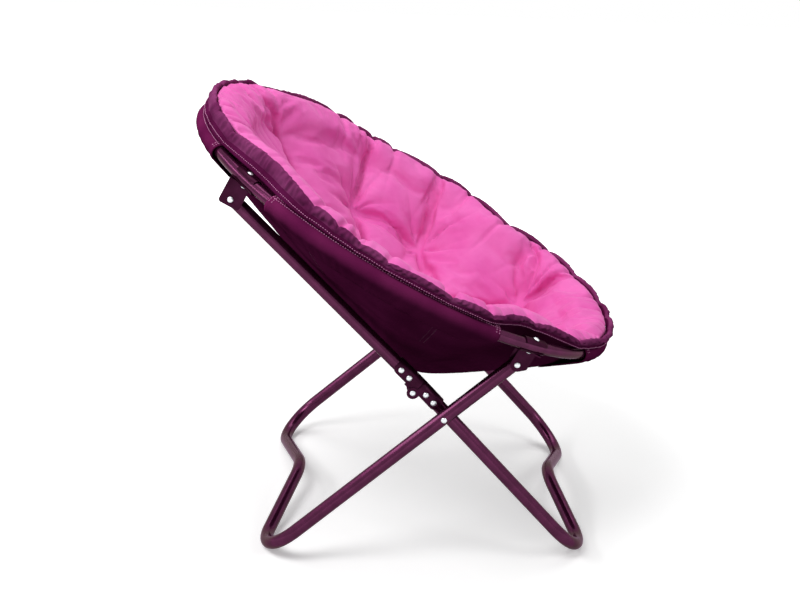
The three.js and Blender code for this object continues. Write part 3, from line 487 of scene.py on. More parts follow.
def makePressings():
    kinds = [
        ("hoop_bracket", "bracket", "bracket_paint"), ("hoop_saddle", "bracket", "bracket_paint"),
        ("knee_channel", "bracket", "bracket_paint"), ("strut_end_plug", "nylon", "plastic"),
        ("leg_end_plug", "nylon", "plastic"), ("scissor_spacer", "nylon", "plastic"),
    ]
    for node, source in sorted(frame["nodes"].items()):
        for start, finish, slot in kinds:
            if not node.startswith(start):
                continue
            mesh = source.data.copy()
            shape = bmesh.new()
            shape.from_mesh(mesh)
            bmesh.ops.remove_doubles(shape, verts=shape.verts, dist=pressings["weld"])
            bmesh.ops.dissolve_limit(
                shape, angle_limit=math.radians(1), verts=shape.verts, edges=shape.edges
            )
            shape.to_mesh(mesh)
            shape.free()
            words = node.split("_")
            name = words[0] + "".join(word.capitalize() for word in words[1:-1]) + "_" + words[-1]
            piece = addPiece(name, mesh, finish, body_of(source)[0])
            mesh.shade_smooth()
            modify(piece, "BEVEL", width=pressings["bevel"], segments=2, limit_method="ANGLE",
                   angle_limit=math.radians(pressings["sharpAngle"]), harden_normals=False)
            piece.data.set_sharp_from_angle(angle=math.radians(pressings["sharpAngle"]))
            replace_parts(piece, node)
    print("pressings rounded")


# Fasteners: one turned dome is set on every point, with the point's own facing and size

fasteners = {
    "sides": 28,
    "rivetRadius": 0.0048,
    "tailRadius": 0.0036,
    "shoulderRadius": 0.007,
    "headHeight": 0.0023,
    "tailHeight": 0.0014,
    "tailShare": 0.98,  # of its radius that a tail shows
    "boltRadius": 0.005,
    "nutShare": 0.8,
    "boltBack": 0.280,  # of the hoop's middle, in its plane
    "boltForward": 0.219,
    "boltStand": 0.0121,
    "screwRadius": 0.003,
    "screwAngle": 2.961,  # degrees from the hoop's joint
    "screwStand": 0.0098,
}


def domeTemplate():
    # a set rivet head of radius 1, from the punch's shallow mark over the dome to its rim: out, up
    profile = [
        (0.0, 0.40), (0.16, 0.385), (0.24, 0.41), (0.45, 0.38), (0.7, 0.29), (0.9, 0.15), (0.98, 0.05), (1.0, -0.06)
    ]
    shape = bmesh.new()
    start = [shape.verts.new((radius, 0, height)) for radius, height in profile]
    edges = [shape.edges.new(pair) for pair in zip(start, start[1:])]
    bmesh.ops.spin(
        shape, geom=start + edges, cent=(0, 0, 0), axis=(0, 0, 1), angle=math.tau, steps=fasteners["sides"]
    )
    bmesh.ops.remove_doubles(shape, verts=shape.verts, dist=1e-5)
    rim = [edge for edge in shape.edges if edge.is_boundary]
    bmesh.ops.contextual_create(shape, geom=rim)
    bmesh.ops.recalc_face_normals(shape, faces=shape.faces)
    mesh = bpy.data.meshes.new("dome")
    shape.to_mesh(mesh)
    shape.free()
    mesh.shade_smooth()
    return putInScene("dome", mesh)


def fastenerTree():
    tree, given = newTree("setFasteners", [
        ("Head", "NodeSocketObject", None), ("Finish", "NodeSocketMaterial", None),
    ])
    facing = addNode(tree, "GeometryNodeInputNamedAttribute", {"data_type": "FLOAT_VECTOR"}, Name="facing")
    size = addNode(tree, "GeometryNodeInputNamedAttribute", {"data_type": "FLOAT"}, Name="headRadius")
    head = addNode(tree, "GeometryNodeObjectInfo", Object=given.outputs["Head"])
    turn = addNode(
        tree, "FunctionNodeAlignRotationToVector", {"axis": "Z"}, Vector=facing.outputs["Attribute"]
    )
    placed = addNode(
        tree, "GeometryNodeInstanceOnPoints", Points=given.outputs["Geometry"], Instance=head.outputs["Geometry"],
        Rotation=turn.outputs["Rotation"], Scale=size.outputs["Attribute"],
    )
    closeTree(tree, placed.outputs["Instances"], given.outputs["Finish"])
    return tree


def fastenerEnds(node):
    # a rivet across the chair: its dome faces outwards and its tail inwards
    low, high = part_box(node)
    middle = [(low[axis] + high[axis]) / 2 for axis in range(3)]
    side = 1 if middle[1] > 0 else -1
    outer, inner = (high[1], low[1]) if side > 0 else (low[1], high[1])
    isTail = "scissor_rivet_tail" in node
    tail = fasteners["shoulderRadius"] if node.startswith("scissor_rivet") else fasteners["tailRadius"]
    tail *= fasteners["tailShare"]

    def end(face, facing, height, radius):
        return Vector((middle[0], face - facing * height, middle[2])), Vector((0, facing, 0)), radius

    if isTail:
        return [end(inner, -side, fasteners["headHeight"], fasteners["rivetRadius"])]
    return [
        end(outer, side, fasteners["headHeight"], fasteners["rivetRadius"]),
        end(inner, -side, fasteners["tailHeight"], tail),
    ]


def hoopFastenerEnds(node):
    side = 1 if node.endswith("left") else -1
    if "screw" in node:
        turn = math.pi / 2 + math.radians(fasteners["screwAngle"]) * (1 if "rear" in node else -1)
        return [(onHoop(turn * side, up=-fasteners["screwStand"]), -hoopNormal, fasteners["screwRadius"])]
    along = -fasteners["boltBack"] if "rear" in node else fasteners["boltForward"]
    turn = math.acos(along / hoop["radius"]) * side
    stand = fasteners["boltStand"]
    return [(onHoop(turn, up=stand), hoopNormal, fasteners["boltRadius"]),
            (onHoop(turn, up=-stand), -hoopNormal, fasteners["boltRadius"] * fasteners["nutShare"])]


def makeFasteners():
    tree = fastenerTree()
    template = domeTemplate()
    groups = {}
    for node, source in sorted(frame["nodes"].items()):
        isAcross = "rivet" in node
        if isAcross or "hoop_bolt" in node or "joint_screw" in node:
            ends = fastenerEnds(node) if isAcross else hoopFastenerEnds(node)
            groups.setdefault(body_of(source)[0], []).append((node, ends))
    for body, members in groups.items():
        ends = [end for node, nodeEnds in members for end in nodeEnds]
        path = pathObject([[place] for place, facing, size in ends])
        path.data.attributes.new("headRadius", "FLOAT", "POINT").data.foreach_set(
            "value", [size for place, facing, size in ends]
        )
        path.data.attributes.new("facing", "FLOAT_VECTOR", "POINT").data.foreach_set(
            "vector", [part for place, facing, size in ends for part in facing]
        )
        mesh = grow(path, tree, {"Head": template, "Finish": finishes["zinc"]})
        name = "fasteners" + "".join(word.capitalize() for word in body.split("_"))
        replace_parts(addPiece(name, mesh, None, body), *[node for node, nodeEnds in members])
    bpy.data.objects.remove(template)
    print("fasteners set")


# The bowl of the seat: a section from its deepest point to the rim, swept round and drawn in at the brackets

bowl = {
    "rimRadius": 0.388,
    "depth": 0.222,
    "forward": 0.100,  # deepest point in front of the hoop's middle
    "edgeHeight": 0.014,
    "archPower": 0.6,
    "rearRise": 0.022,
    "riseSpan": (0.15, 0.7),  # how far back it sets in and is full, from -1 in front to 1
    "riseShare": 0.75,  # of the section, from which the rise sets in
    "rearBelly": 0.018,
    "bellySpan": (-0.1, 0.4),
    "rearPull": 0.016,
    "frontPull": 0.038,
    "pullAngle": 18,
    "sectionShares": [
        (0, 1), (0.12, 0.99), (0.23, 0.94), (0.41, 0.765), (0.6, 0.555),
        (0.79, 0.335), (0.89, 0.19), (0.925, 0.07), (0.935, -0.02),
    ],
}
bracketTurns = [
    (math.acos(-fasteners["boltBack"] / hoop["radius"]), bowl["rearPull"]),
    (math.acos(fasteners["boltForward"] / hoop["radius"]), bowl["frontPull"]),
]


# degrees from straight ahead, as the photograph shows them on the far side
rimSewnTurns = [0, 10, 27, 40, 53, 70, 81, 97, 104, 110, 117, 149, 160, 166, 173, 178, 182]


def foldTurn(angle):
    return abs((angle + math.pi) % math.tau - math.pi)


def drawnIn(angle):
    # how far the rim is drawn in beside a bracket, and how near that bracket is
    for middle, pull in bracketTurns:
        away = abs(foldTurn(angle) - middle) / math.radians(bowl["pullAngle"])
        if away < 1:
            near = math.cos(away * math.pi / 2) ** 2
            return pull * near, near
    return 0.0, 0.0


def rimRise(angle):
    return bowl["rearRise"] * smoothStep(-math.cos(angle), *bowl["riseSpan"])


def rimArch(angle):
    # the rim stands in scallops between sewn points: height share, metres to the nearer point, width
    turn = math.degrees(foldTurn(angle))
    index = min(bisect.bisect_right(rimSewnTurns, turn), len(rimSewnTurns) - 1)
    first, second = rimSewnTurns[index - 1], rimSewnTurns[index]
    share = min(max((turn - first) / (second - first), 0), 1)
    width = math.radians(second - first) * bowl["rimRadius"]
    return math.sin(math.pi * share) ** bowl["archPower"], min(share, 1 - share) * width, width


def sectionAt(share):
    places = bowl["sectionShares"] + [(1, -bowl["edgeHeight"] / bowl["depth"])]
    along = (len(places) - 1) * share
    index = min(int(along), len(places) - 2)
    t = along - index
    before, first, second, after = (
        places[max(index - 1, 0)], places[index], places[index + 1], places[min(index + 2, len(places) - 1)]
    )
    result = []
    for p0, p1, p2, p3 in zip(before, first, second, after):
        v0, v1 = (p2 - p0) / 2, (p3 - p1) / 2
        result.append((2 * p1 - 2 * p2 + v0 + v1) * t ** 3 + (3 * p2 - 3 * p1 - 2 * v0 - v1) * t * t + v0 * t + p1)
    return result


def bowlPoint(share, angle):
    out, down = sectionAt(share)
    lift = rimRise(angle) * smoothStep(share, bowl["riseShare"], 1)
    lift += bowl["rearBelly"] * smoothStep(-math.cos(angle), *bowl["bellySpan"]) * math.sin(math.pi * out)
    radius = (bowl["rimRadius"] - drawnIn(angle)[0]) * out
    return Vector((
        bowl["forward"] * (1 - out) + radius * math.cos(angle), radius * math.sin(angle), lift - down * bowl["depth"]
    ))


def bowlInward(share, angle):
    # the direction off the bowl's face towards the sitter
    step = 1e-3
    if share < 0.01:
        return Vector((0, 0, 1))
    point = bowlPoint(share, angle)
    beside = point - bowlPoint(share, angle - step)
    below = point - bowlPoint(share - step, angle)
    return -beside.cross(below).normalized()


def bowlOffset(share, angle, offset):
    return bowlPoint(share, angle) + bowlInward(share, angle) * offset


# Each seat piece gets a mesh of its own


def crumple(piece):
    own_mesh(piece)


# Shell: one sewn skin of woven polyester, with radial seams, slack ripples and pleats where it is drawn in

shell = {
    "offset": 0.0004,
    "thickness": 0.0012,
    "columns": 360,
    "rows": 90,
    "seamTurns": [22, 80, 118, 158],  # degrees from straight ahead, on both sides
    "seamShare": 0.5,  # of the section, round the bottom panel
    "seamDepth": 0.0026,
    "seamTurnWidth": 0.008,  # radians
    "seamShareWidth": 0.006,
    "seamBlend": 0.01,
    "slack": 0.0019,
    "slackSize": 0.22, "fineSize": 0.3,
    "slackEnds": 0.93,  # of the section, near the rim
    "mostOut": 0.0012,  # of the slack, off the bowl's face
    "pleatTurns": 62,
    "pleat": 1.4,  # against the slack
    "pleatSpan": (0.45, 0.95),  # of the section, over which the pleats grow
    "pleatWander": 3,
    "cutSide": 0.98,  # of the cloth it is cut from
}


def shellRelief(share, angle):
    # towards the sitter: slack ripples, pleats beside the brackets, and seams drawn in
    turn = foldTurn(angle)
    near = drawnIn(angle)[1]
    rimward = smoothStep(share, *shell["pleatSpan"])
    slack = ripple(math.cos(angle), math.sin(angle), share * 0.9, size=shell["slackSize"])
    slack += 0.5 * ripple(math.cos(angle) * 3, math.sin(angle) * 3, share, size=shell["fineSize"])
    wander = shell["pleatWander"] * ripple(turn, share, 0, size=shell["fineSize"])
    pleats = math.sin(turn * shell["pleatTurns"] + wander) * near * rimward * shell["pleat"]
    fromSeams = [(turn - math.radians(middle)) / shell["seamTurnWidth"] for middle in shell["seamTurns"]]
    seam = sum(math.exp(-away ** 2) for away in fromSeams)
    seam *= smoothStep(share, shell["seamShare"] - shell["seamBlend"], shell["seamShare"] + shell["seamBlend"])
    seam += math.exp(-((share - shell["seamShare"]) / shell["seamShareWidth"]) ** 2)
    fade = 1 - smoothStep(share, shell["slackEnds"], 1.0)
    relief = (shell["slack"] * (slack + pleats) * fade) + shell["seamDepth"] * min(seam, 1)
    return max(relief, -shell["mostOut"])


def onShell(share, angle, stand=0.0):
    return hoopToWorld @ bowlOffset(share, angle, shell["offset"] + shellRelief(share, angle) - stand)


def makeShell():
    rows = [[onShell(row / shell["rows"], math.tau * column / shell["columns"]) for column in range(shell["columns"])]
            for row in range(shell["rows"] + 1)]
    mesh = gridMesh("shellSkin", rows, closeColumns=True)
    weld(mesh)
    piece = addPiece("shellSkin", mesh, "shell")
    modify(piece, "SOLIDIFY", thickness=shell["thickness"], offset=-1)
    piece.data.shade_smooth()
    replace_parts(piece, "seat_shell")
    crumple(piece)
    print("shell sewn")


def weld(mesh):
    shape = bmesh.new()
    shape.from_mesh(mesh)
    bmesh.ops.remove_doubles(shape, verts=shape.verts, dist=1e-6)
    bmesh.ops.recalc_face_normals(shape, faces=shape.faces)
    shape.to_mesh(mesh)
    shape.free()
    mesh.shade_smooth()


# Pad: stuffed panels swell between tufts and sewn folds

pad = {
    "offset": 0.0032,  # over the shell's outer face
    "edgeThickness": 0.0050,
    "thickness": 0.035,
    "roll": 0.003, "rollAt": 0.84, "rollWidth": 0.12,  # a fuller band inside the rim
    "columns": 200,
    "topRows": 70,
    "underRows": 24,
    "voxel": 0.006,
    "quickVoxel": 1.4,
    "mostSwell": 0.015,
    "frames": 20,
    "leastThickness": 0.009,
    "creased": 0.004,  # of stuffing left under the deepest crease
    "tuftSink": 0.0220,
    "tuftSpread": 0.040,
    "foldSink": 0.0150,
    "foldSpread": 0.0095,
    "foldAtRim": 0.25,  # of its depth that a fold keeps at the rim
    "crownPower": 7,
    "rowPower": 0.9,  # rows stand closer towards the rim
    # sewn tufts on the left, in the hoop's plane, with the folds that run from each and one down the back
    "tufts": [(0.277, 0.150), (0.079, 0.250), (-0.073, 0.228)],
    "folds": [
        [(0.277, 0.150), (0.331, 0.152), (0.360, 0.150)],
        [(0.277, 0.150), (0.276, 0.190), (0.262, 0.245)],
        [(0.277, 0.150), (0.285, 0.065), (0.282, 0.0)],
        [(0.277, 0.150), (0.218, 0.133), (0.160, 0.118)],
        [(0.079, 0.250), (0.072, 0.293), (0.060, 0.372)],
        [(0.079, 0.250), (0.105, 0.190), (0.122, 0.150)],
        [(-0.073, 0.228), (-0.090, 0.326), (-0.110, 0.362)],
        [(-0.073, 0.228), (0.002, 0.235), (0.079, 0.250)],
        [(-0.073, 0.228), (-0.030, 0.150), (0.010, 0.115)],
        [(-0.355, 0.150), (-0.313, 0.140), (-0.273, 0.163), (-0.229, 0.137), (-0.180, 0.100), (-0.110, 0.050)],
    ],
}


def segmentDistance(place, start, end):
    along = end - start
    share = min(max((place - start).dot(along) / along.length_squared, 0), 1)
    return (place - start - along * share).length


foldLines = [[Vector(point) for point in line] for line in pad["folds"]]
tuftPlaces = [Vector(point) for point in pad["tufts"]]


def nearestSewing(x, y):
    # the pad is alike on both sides
    place = Vector((x, abs(y)))
    tuft = min((place - tuft).length for tuft in tuftPlaces)
    line = min(segmentDistance(place, *pair) for line in foldLines for pair in zip(line, line[1:]))
    return tuft, line


def paddingAt(share, x, y):
    crown = max(1 - share ** pad["crownPower"], 0)
    full = pad["edgeThickness"] + (pad["thickness"] - pad["edgeThickness"]) * crown
    full += pad["roll"] * math.exp(-((share - pad["rollAt"]) / pad["rollWidth"]) ** 2)
    tuft, line = nearestSewing(x, y)
    sink = pad["tuftSink"] * math.exp(-(tuft / pad["tuftSpread"]) ** 2)
    sink += pad["foldSink"] * math.exp(-(line / pad["foldSpread"]) ** 2) * min(crown + pad["foldAtRim"], 1)
    return pad["offset"] + max(full - sink, pad["leastThickness"])


def surfaceTree(rows):
    count = len(rows[0])
    faces = gridFaces(len(rows) - 1, count, len(rows), count)
    return BVHTree.FromPolygons([point for row in rows for point in row], faces)


def padForm():
    # a closed form, a test of whether a point belongs to its upper side, and how much stuffing is under it
    rows = []
    for row in range(pad["underRows"] + 1):
        share = row / pad["underRows"]
        rows.append([bowlOffset(share, math.tau * column / pad["columns"], pad["offset"])
                     for column in range(pad["columns"])])
    under = surfaceTree(rows)
    for row in range(pad["topRows"], -1, -1):
        share = (row / pad["topRows"]) ** pad["rowPower"]
        ring = []
        for column in range(pad["columns"]):
            angle = math.tau * column / pad["columns"]
            flat = bowlPoint(share, angle)
            ring.append(bowlOffset(share, angle, paddingAt(share, flat.x, flat.y)))
        rows.append(ring)
    upper = surfaceTree(rows[pad["underRows"] + 1:])
    mesh = gridMesh("padForm", rows, closeColumns=True)
    weld(mesh)

    def stuffingUnder(place):
        return under.find_nearest(place)[3]

    def isUpper(place):
        return upper.find_nearest(place)[3] < stuffingUnder(place)

    return mesh, isUpper, stuffingUnder


stuffing = {
    "rimHeld": 0.020,
    "tuftHeld": 0.012,
    "foldHeld": 0.006,
    "foldHold": 0.75,
    "leastHold": 0.05,
    "cloth": {
        "quality": 5, "mass": 0.25, "tension_stiffness": 12, "compression_stiffness": 12, "shear_stiffness": 4,
        "bending_stiffness": 1.2, "use_pressure": True, "uniform_pressure_force": 4, "vertex_group_mass": "held",
        "shrink_min": -0.02,  # spare cloth that gathers into creases
    },
}


def swell(piece, isUpper):
    # air pressure fills the panels; the underside, the rim, the tufts and the folds are held
    group = piece.vertex_groups.new(name="held")
    points = [vertex.co.copy() for vertex in piece.data.vertices]
    for vertex in piece.data.vertices:
        tuft, line = nearestSewing(vertex.co.x, vertex.co.y)
        if fromRim(vertex.co) < stuffing["rimHeld"] or not isUpper(vertex.co):
            weight = 1.0
        else:
            onFold = stuffing["foldHold"] * math.exp(-(line / stuffing["foldHeld"]) ** 2)
            weight = max(math.exp(-(tuft / stuffing["tuftHeld"]) ** 2), onFold)
        if weight > stuffing["leastHold"]:
            group.add([vertex.index], weight, "REPLACE")
    cloth = piece.modifiers.new("cloth", "CLOTH")
    settings = cloth.settings
    applySettings(settings, stuffing["cloth"])
    settings.effector_weights.gravity = 0
    cloth.collision_settings.use_collision = False
    applySettings(cloth.point_cache, {"frame_start": 1, "frame_end": pad["frames"]})
    for step in range(1, pad["frames"] + 1):
        scene.frame_set(step)
    swollen = evaluatedMesh(piece)
    piece.modifiers.clear()
    for vertex, before in zip(swollen.vertices, points):
        moved = vertex.co - before
        if moved.length > pad["mostSwell"]:
            vertex.co = before + moved.normalized() * pad["mostSwell"]
    piece.data = swollen
    piece.vertex_groups.clear()
    scene.frame_set(1)


def fromRim(place):
    turn = math.atan2(place.y, place.x)
    return bowl["rimRadius"] - drawnIn(turn)[0] - math.hypot(place.x, place.y)


gathers = {
    "pitch": 0.031,
    "rearSpan": (0.75, 0.95),  # how far back the rear's own height and reach set in and are full
    "height": 0.0045, "rearHeight": 0.0085,
    "reach": 0.034, "rearReach": 0.115,
    "wander": 3.4, "wanderSize": 0.09,
    "lean": 22,  # radians a metre, away from the rim
    "pinch": 0.0075, "pinchWidth": 0.0060, "pinchReach": 0.060,  # at the rim's sewn points
    "tuftDepth": 0.0075, "tuftReach": 0.066, "tuftRange": 0.16,
    "tuftSpan": (0.004, 0.022),  # from the tuft, over which its creases set in
    "tuftCreases": 7, "tuftWander": 2.4,
    "seamDepth": 0.0115, "seamWidth": 0.0045,
    "creaseHeight": 0.0007,
}


def valley(phase):
    # full between narrow creases
    return -((1 - abs(math.sin(phase / 2))) ** 2)


def gatherLift(place):
    # puckers along the rim and creases that fan from each tuft
    turn = math.atan2(place.y, place.x)
    rim = fromRim(place)
    atRear = smoothStep(-math.cos(turn), *gathers["rearSpan"])
    wander = gathers["wander"] * ripple(place.x, place.y, 3, size=gathers["wanderSize"])
    waves = valley(turn * bowl["rimRadius"] * math.tau / gathers["pitch"] + wander + rim * gathers["lean"])
    uneven = 0.5 + 1.1 * ripple(math.cos(turn) * 2, math.sin(turn) * 2, 7, size=0.22)
    reach = gathers["reach"] + (gathers["rearReach"] - gathers["reach"]) * atRear
    height = gathers["height"] + (gathers["rearHeight"] - gathers["height"]) * atRear
    lift = height * waves * max(uneven, 0) * math.exp(-(rim / reach) ** 2) * smoothStep(rim, 0.0, 0.012)
    _, beside, width = rimArch(turn)
    pinchReach = gathers["pinchReach"] * smoothStep(width, 0.01, 0.07)
    pinch = math.exp(-(beside / gathers["pinchWidth"]) ** 2) * math.exp(-(rim / (pinchReach + 0.01)) ** 2)
    lift -= gathers["pinch"] * pinch
    side = Vector((place.x, abs(place.y)))
    nearTuft, nearLine = nearestSewing(place.x, place.y)
    lift -= gathers["seamDepth"] * math.exp(-(nearLine / gathers["seamWidth"]) ** 2)
    if nearTuft < gathers["tuftRange"]:
        for number, tuft in enumerate(tuftPlaces):
            away = side - tuft
            if gathers["tuftSpan"][0] < away.length < gathers["tuftRange"]:
                spoke = math.atan2(away.y, away.x) * gathers["tuftCreases"] + number * 1.7
                spoke += gathers["tuftWander"] * ripple(place.x, place.y, number, size=gathers["wanderSize"])
                fade = smoothStep(away.length, *gathers["tuftSpan"])
                fade *= math.exp(-(away.length / gathers["tuftReach"]) ** 2)
                lift += gathers["tuftDepth"] * valley(spoke) * fade
    soft = ripple(place.x, place.y, 11, size=0.055) + 0.5 * ripple(place.x * 1.7, place.y * 0.8, 5, size=0.03)
    return lift + gathers["creaseHeight"] * soft


def dropCrumbs(mesh):
    # remeshing can leave crumbs beside a thin spot: only the largest body stays
    shape = bmesh.new()
    shape.from_mesh(mesh)
    waiting = set(shape.verts)
    bodies = []
    while waiting:
        body = [waiting.pop()]
        for vertex in body:
            for edge in vertex.link_edges:
                other = edge.other_vert(vertex)
                if other in waiting:
                    waiting.discard(other)
                    body.append(other)
        bodies.append(body)
    main = max(bodies, key=len)
    crumbs = [vertex for body in bodies if body is not main for vertex in body]
    bmesh.ops.delete(shape, geom=crumbs, context="VERTS")
    shape.to_mesh(mesh)
    shape.free()


def makePad():
    mesh, isUpper, stuffingUnder = padForm()
    form = putInScene("padForm", mesh)
    voxel = pad["voxel"] * 1
    modify(form, "REMESH", mode="VOXEL", voxel_size=voxel, use_smooth_shade=True)
    dropCrumbs(form.data)
    print("pad form:", len(form.data.vertices), "points")
    swell(form, isUpper)
    modify(form, "SUBSURF", levels=1, render_levels=1)
    outward = [vertex.normal.copy() for vertex in form.data.vertices]
    for vertex, normal in zip(form.data.vertices, outward):
        if isUpper(vertex.co):
            vertex.co += normal * max(gatherLift(vertex.co), pad["creased"] - stuffingUnder(vertex.co))
    form.data.transform(hoopToWorld)
    mesh = form.data
    bpy.data.objects.remove(form)
    mesh.shade_smooth()
    piece = addPiece("seatPad", mesh, "pad")
    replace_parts(piece, "seat_cushion")
    crumple(piece)
    print("pad swollen:", len(mesh.polygons), "faces")


# Binding: a ruffled band folded over the rim

binding = {
    "columns": 1440,
    "inner": 0.0004,
    "thickness": 0.0080,
    "bottom": 0.0128,
    "stand": 0.0175,  # above the shell's edge
    "rearDrop": 0.005,
    "rearSpan": (0.5, 0.85),  # how far back it sets in and is full
    "wideScallop": (0.02, 0.06),  # a scallop's width from which the drop grows, and for all of it
    "drop": 0.0070,  # at the sewn points
    "smallDrop": 0.0035,
    "gatherSize": 0.0062,  # of the puckers in the hem
    "gather": 0.0046,
    "hemShare": 0.42,  # where the hem is sewn down to the flat band
    # the band's upper faces, which get the paler hem finish, a painted highlight
    "hemFaces": range(2, 9),
    "stitchPoint": 11,
}


def bindingSection(angle):
    # radius and height from the inner lower edge over the top to the outer lower edge
    arch, _, width = rimArch(angle)
    wide = smoothStep(width, *binding["wideScallop"])
    drop = binding["smallDrop"] + (binding["drop"] - binding["smallDrop"]) * wide
    length = angle * bowl["rimRadius"]
    stand = binding["stand"] - binding["rearDrop"] * smoothStep(-math.cos(angle), *binding["rearSpan"])
    top = bowl["edgeHeight"] + stand + rimRise(angle) - drop * (1 - arch)
    top += 0.0012 * ripple(length, 2, 0, size=0.03)
    inner = bowl["rimRadius"] - drawnIn(angle)[0] + binding["inner"]
    outer = inner + binding["thickness"]
    bottom = binding["bottom"]
    seam = bottom + (top - bottom) * binding["hemShare"]

    def gathered(amount, level):
        pucker = ripple(length, level, 0, size=binding["gatherSize"]) + 0.6 * ripple(length, level, 5, size=0.019)
        return binding["gather"] * amount * pucker

    return [
        (inner, bottom), (inner, bottom + 0.006), (inner - 0.0006, top - 0.0055),
        (inner + 0.0006 + gathered(0.6, 0), top - 0.0014), (inner + 0.0026 + gathered(0.8, 0), top),
        (outer - 0.0024 + gathered(1, 0), top - 0.0008), (outer - 0.0004 + gathered(1.2, 0), top - 0.0036),
        (outer + 0.0006 + gathered(1.3, 0.004), top - (top - seam) * 0.45),
        (outer + 0.0002 + gathered(1, 0.008), seam + 0.0028), (outer - 0.0016, seam + 0.0004),
        (outer - 0.0002 + gathered(0.3, 0.02), seam - 0.0022),
        (outer + 0.0002 + gathered(0.3, 0.03), (seam + bottom) / 2),
        (outer + 0.0002, bottom + 0.0014), (outer - 0.0008, bottom),
    ]


def makeBinding():
    rows = []
    for column in range(binding["columns"]):
        angle = math.tau * column / binding["columns"]
        rows.append([onHoop(angle, radius, height) for radius, height in bindingSection(angle)])
    mesh = gridMesh("rimBinding", rows, closeRows=True, closeColumns=True)
    around = len(rows[0])
    weld(mesh)
    piece = addPiece("rimBinding", mesh, "binding")
    # a paler copy of the band's cloth on its upper faces: a painted highlight where the light falls
    mesh.materials.append(finishes["hem"])
    for face in mesh.polygons:
        face.material_index = int(face.index % around in binding["hemFaces"])
    modify(piece, "SUBSURF", levels=1, render_levels=1)
    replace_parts(piece, "binding_rim")
    print("binding folded")


# Pockets: sleeves of the same cloth that hold the hoop, sewn to the shell below it

pocket = {
    "wall": 0.0013,
    "bore": 0.0123,
    "drop": 0.0022,  # the sleeve hangs on the tube
    "stretches": {
        "front": (-35, 35, 0.062), "left": (67, 127, 0.042), "rear": (150, 210, 0.046), "right": (233, 293, 0.042),
    },
    "stepAngle": 0.5,
    "arcPoints": 26,
    "linePoints": 12,
    "slack": 0.0013,
    "tautShare": 0.25,  # of the slack, round the tube
    "hangSpan": (0.004, 0.02),  # below the hoop's middle, over which the slack grows
    "hem": 0.0007,
    "hemWidth": 0.011,
    "hemStep": 0.0012,  # over which the hem stands up
    "sewnIn": 0.004,  # of the lining, above the seam
    "rippleSizes": (0.016, 0.007),
    "rippleRadius": 0.39,
    "seamSteps": 400,
    "seamStand": 0.0035,  # of the sleeve's seam, off the bowl's face
}


@functools.lru_cache(maxsize=None)
def seamOnShell(turn, depth):
    for step in range(pocket["seamSteps"], 0, -1):
        place = bowlPoint(step / pocket["seamSteps"], turn)
        if place.z < -depth:
            return Vector((math.hypot(place.x, place.y) + pocket["seamStand"], -depth))
    return Vector((hoop["radius"], -depth))


@functools.lru_cache(maxsize=None)
def sleeveLoop(turn, depth, radius, inset):
    # round the tube and down to the seam, in the plane across the hoop: x out, y up
    middle = Vector((hoop["radius"], -pocket["drop"]))
    seam = seamOnShell(turn, depth)
    away = seam - middle
    seam = seam - away.normalized() * inset
    away = seam - middle
    heading = math.atan2(away.y, away.x)
    half = math.acos(min(radius / away.length, 1))
    arc = [heading + half + (math.tau - 2 * half) * step / pocket["arcPoints"]
           for step in range(pocket["arcPoints"] + 1)]
    points = [middle + Vector((math.cos(a), math.sin(a))) * radius for a in arc]
    outLine = [points[-1].lerp(seam, step / pocket["linePoints"]) for step in range(1, pocket["linePoints"])]
    inLine = [seam.lerp(points[0], step / pocket["linePoints"]) for step in range(1, pocket["linePoints"])]
    return points + outLine + [seam] + inLine


def sleevePoint(flat, turn):
    return onHoop(turn, flat.x, flat.y)


def squareTo(loop, index):
    along = loop[(index + 1) % len(loop)] - loop[index - 1]
    return Vector((along.y, -along.x)).normalized()


def sleeveRow(turn, depth, ends, isInside):
    radius = pocket["bore"] + (0 if isInside else pocket["wall"])
    loop = sleeveLoop(turn, depth, radius, pocket["sewnIn"] if isInside else 0.0)
    if isInside:
        return [sleevePoint(flat, turn) for flat in loop]
    fromEnd = min(turn - ends[0], ends[1] - turn) * hoop["radius"]
    hem = pocket["hem"] * (1 - smoothStep(fromEnd, pocket["hemWidth"] - pocket["hemStep"], pocket["hemWidth"]))
    along = turn * pocket["rippleRadius"]
    row = []
    for index, flat in enumerate(loop):
        share = index / len(loop)
        out = squareTo(loop, index)
        slack = ripple(along, share * 0.05, depth, size=pocket["rippleSizes"][0])
        slack += 0.7 * ripple(along, share * 0.01, 4, size=pocket["rippleSizes"][1])
        loose = pocket["tautShare"] + (1 - pocket["tautShare"]) * smoothStep(-flat.y, *pocket["hangSpan"])
        row.append(sleevePoint(flat + out * (hem + pocket["slack"] * slack * loose), turn))
    return row


def makePockets():
    for name, (start, end, depth) in pocket["stretches"].items():
        ends = [math.radians(start), math.radians(end)]
        count = round((end - start) / pocket["stepAngle"])
        turns = [ends[0] + (ends[1] - ends[0]) * step / count for step in range(count + 1)]
        rows = [sleeveRow(turn, depth, ends, False) for turn in turns]
        rows += [sleeveRow(turn, depth, ends, True) for turn in reversed(turns)]
        mesh = gridMesh("pocket", rows, closeRows=True, closeColumns=True)
        weld(mesh)
        piece = addPiece("pocket_" + name, mesh, "pocket")
        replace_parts(piece, "hoop_pocket_" + name)
    print("pockets sewn")


# Stitches: short thread lengths follow each seam path

stitch = {
    "pitch": 0.0042,
    "length": 0.0031,
    "thread": 0.00065,
    "stand": 0.0005,
    "slackShare": 0.4,  # of the pocket's slack, which the rows on it clear
    "shellStand": 0.0003,
    "pairGap": 0.006,  # from a panel seam to each of its two rows
    "roundGap": 0.012,  # the same round the bottom panel, as a share of the section
    "hemInsets": (0.008, 0.022),  # radians from a pocket's end
    "inset": 0.016,
    "arcShares": (0.60, 0.72),  # of the sleeve's round, for its upper rows
    "hemFrom": 0.45,
    "seamSteps": 60, "seamEnd": 58,  # of the section
    "hemSteps": 720,
}


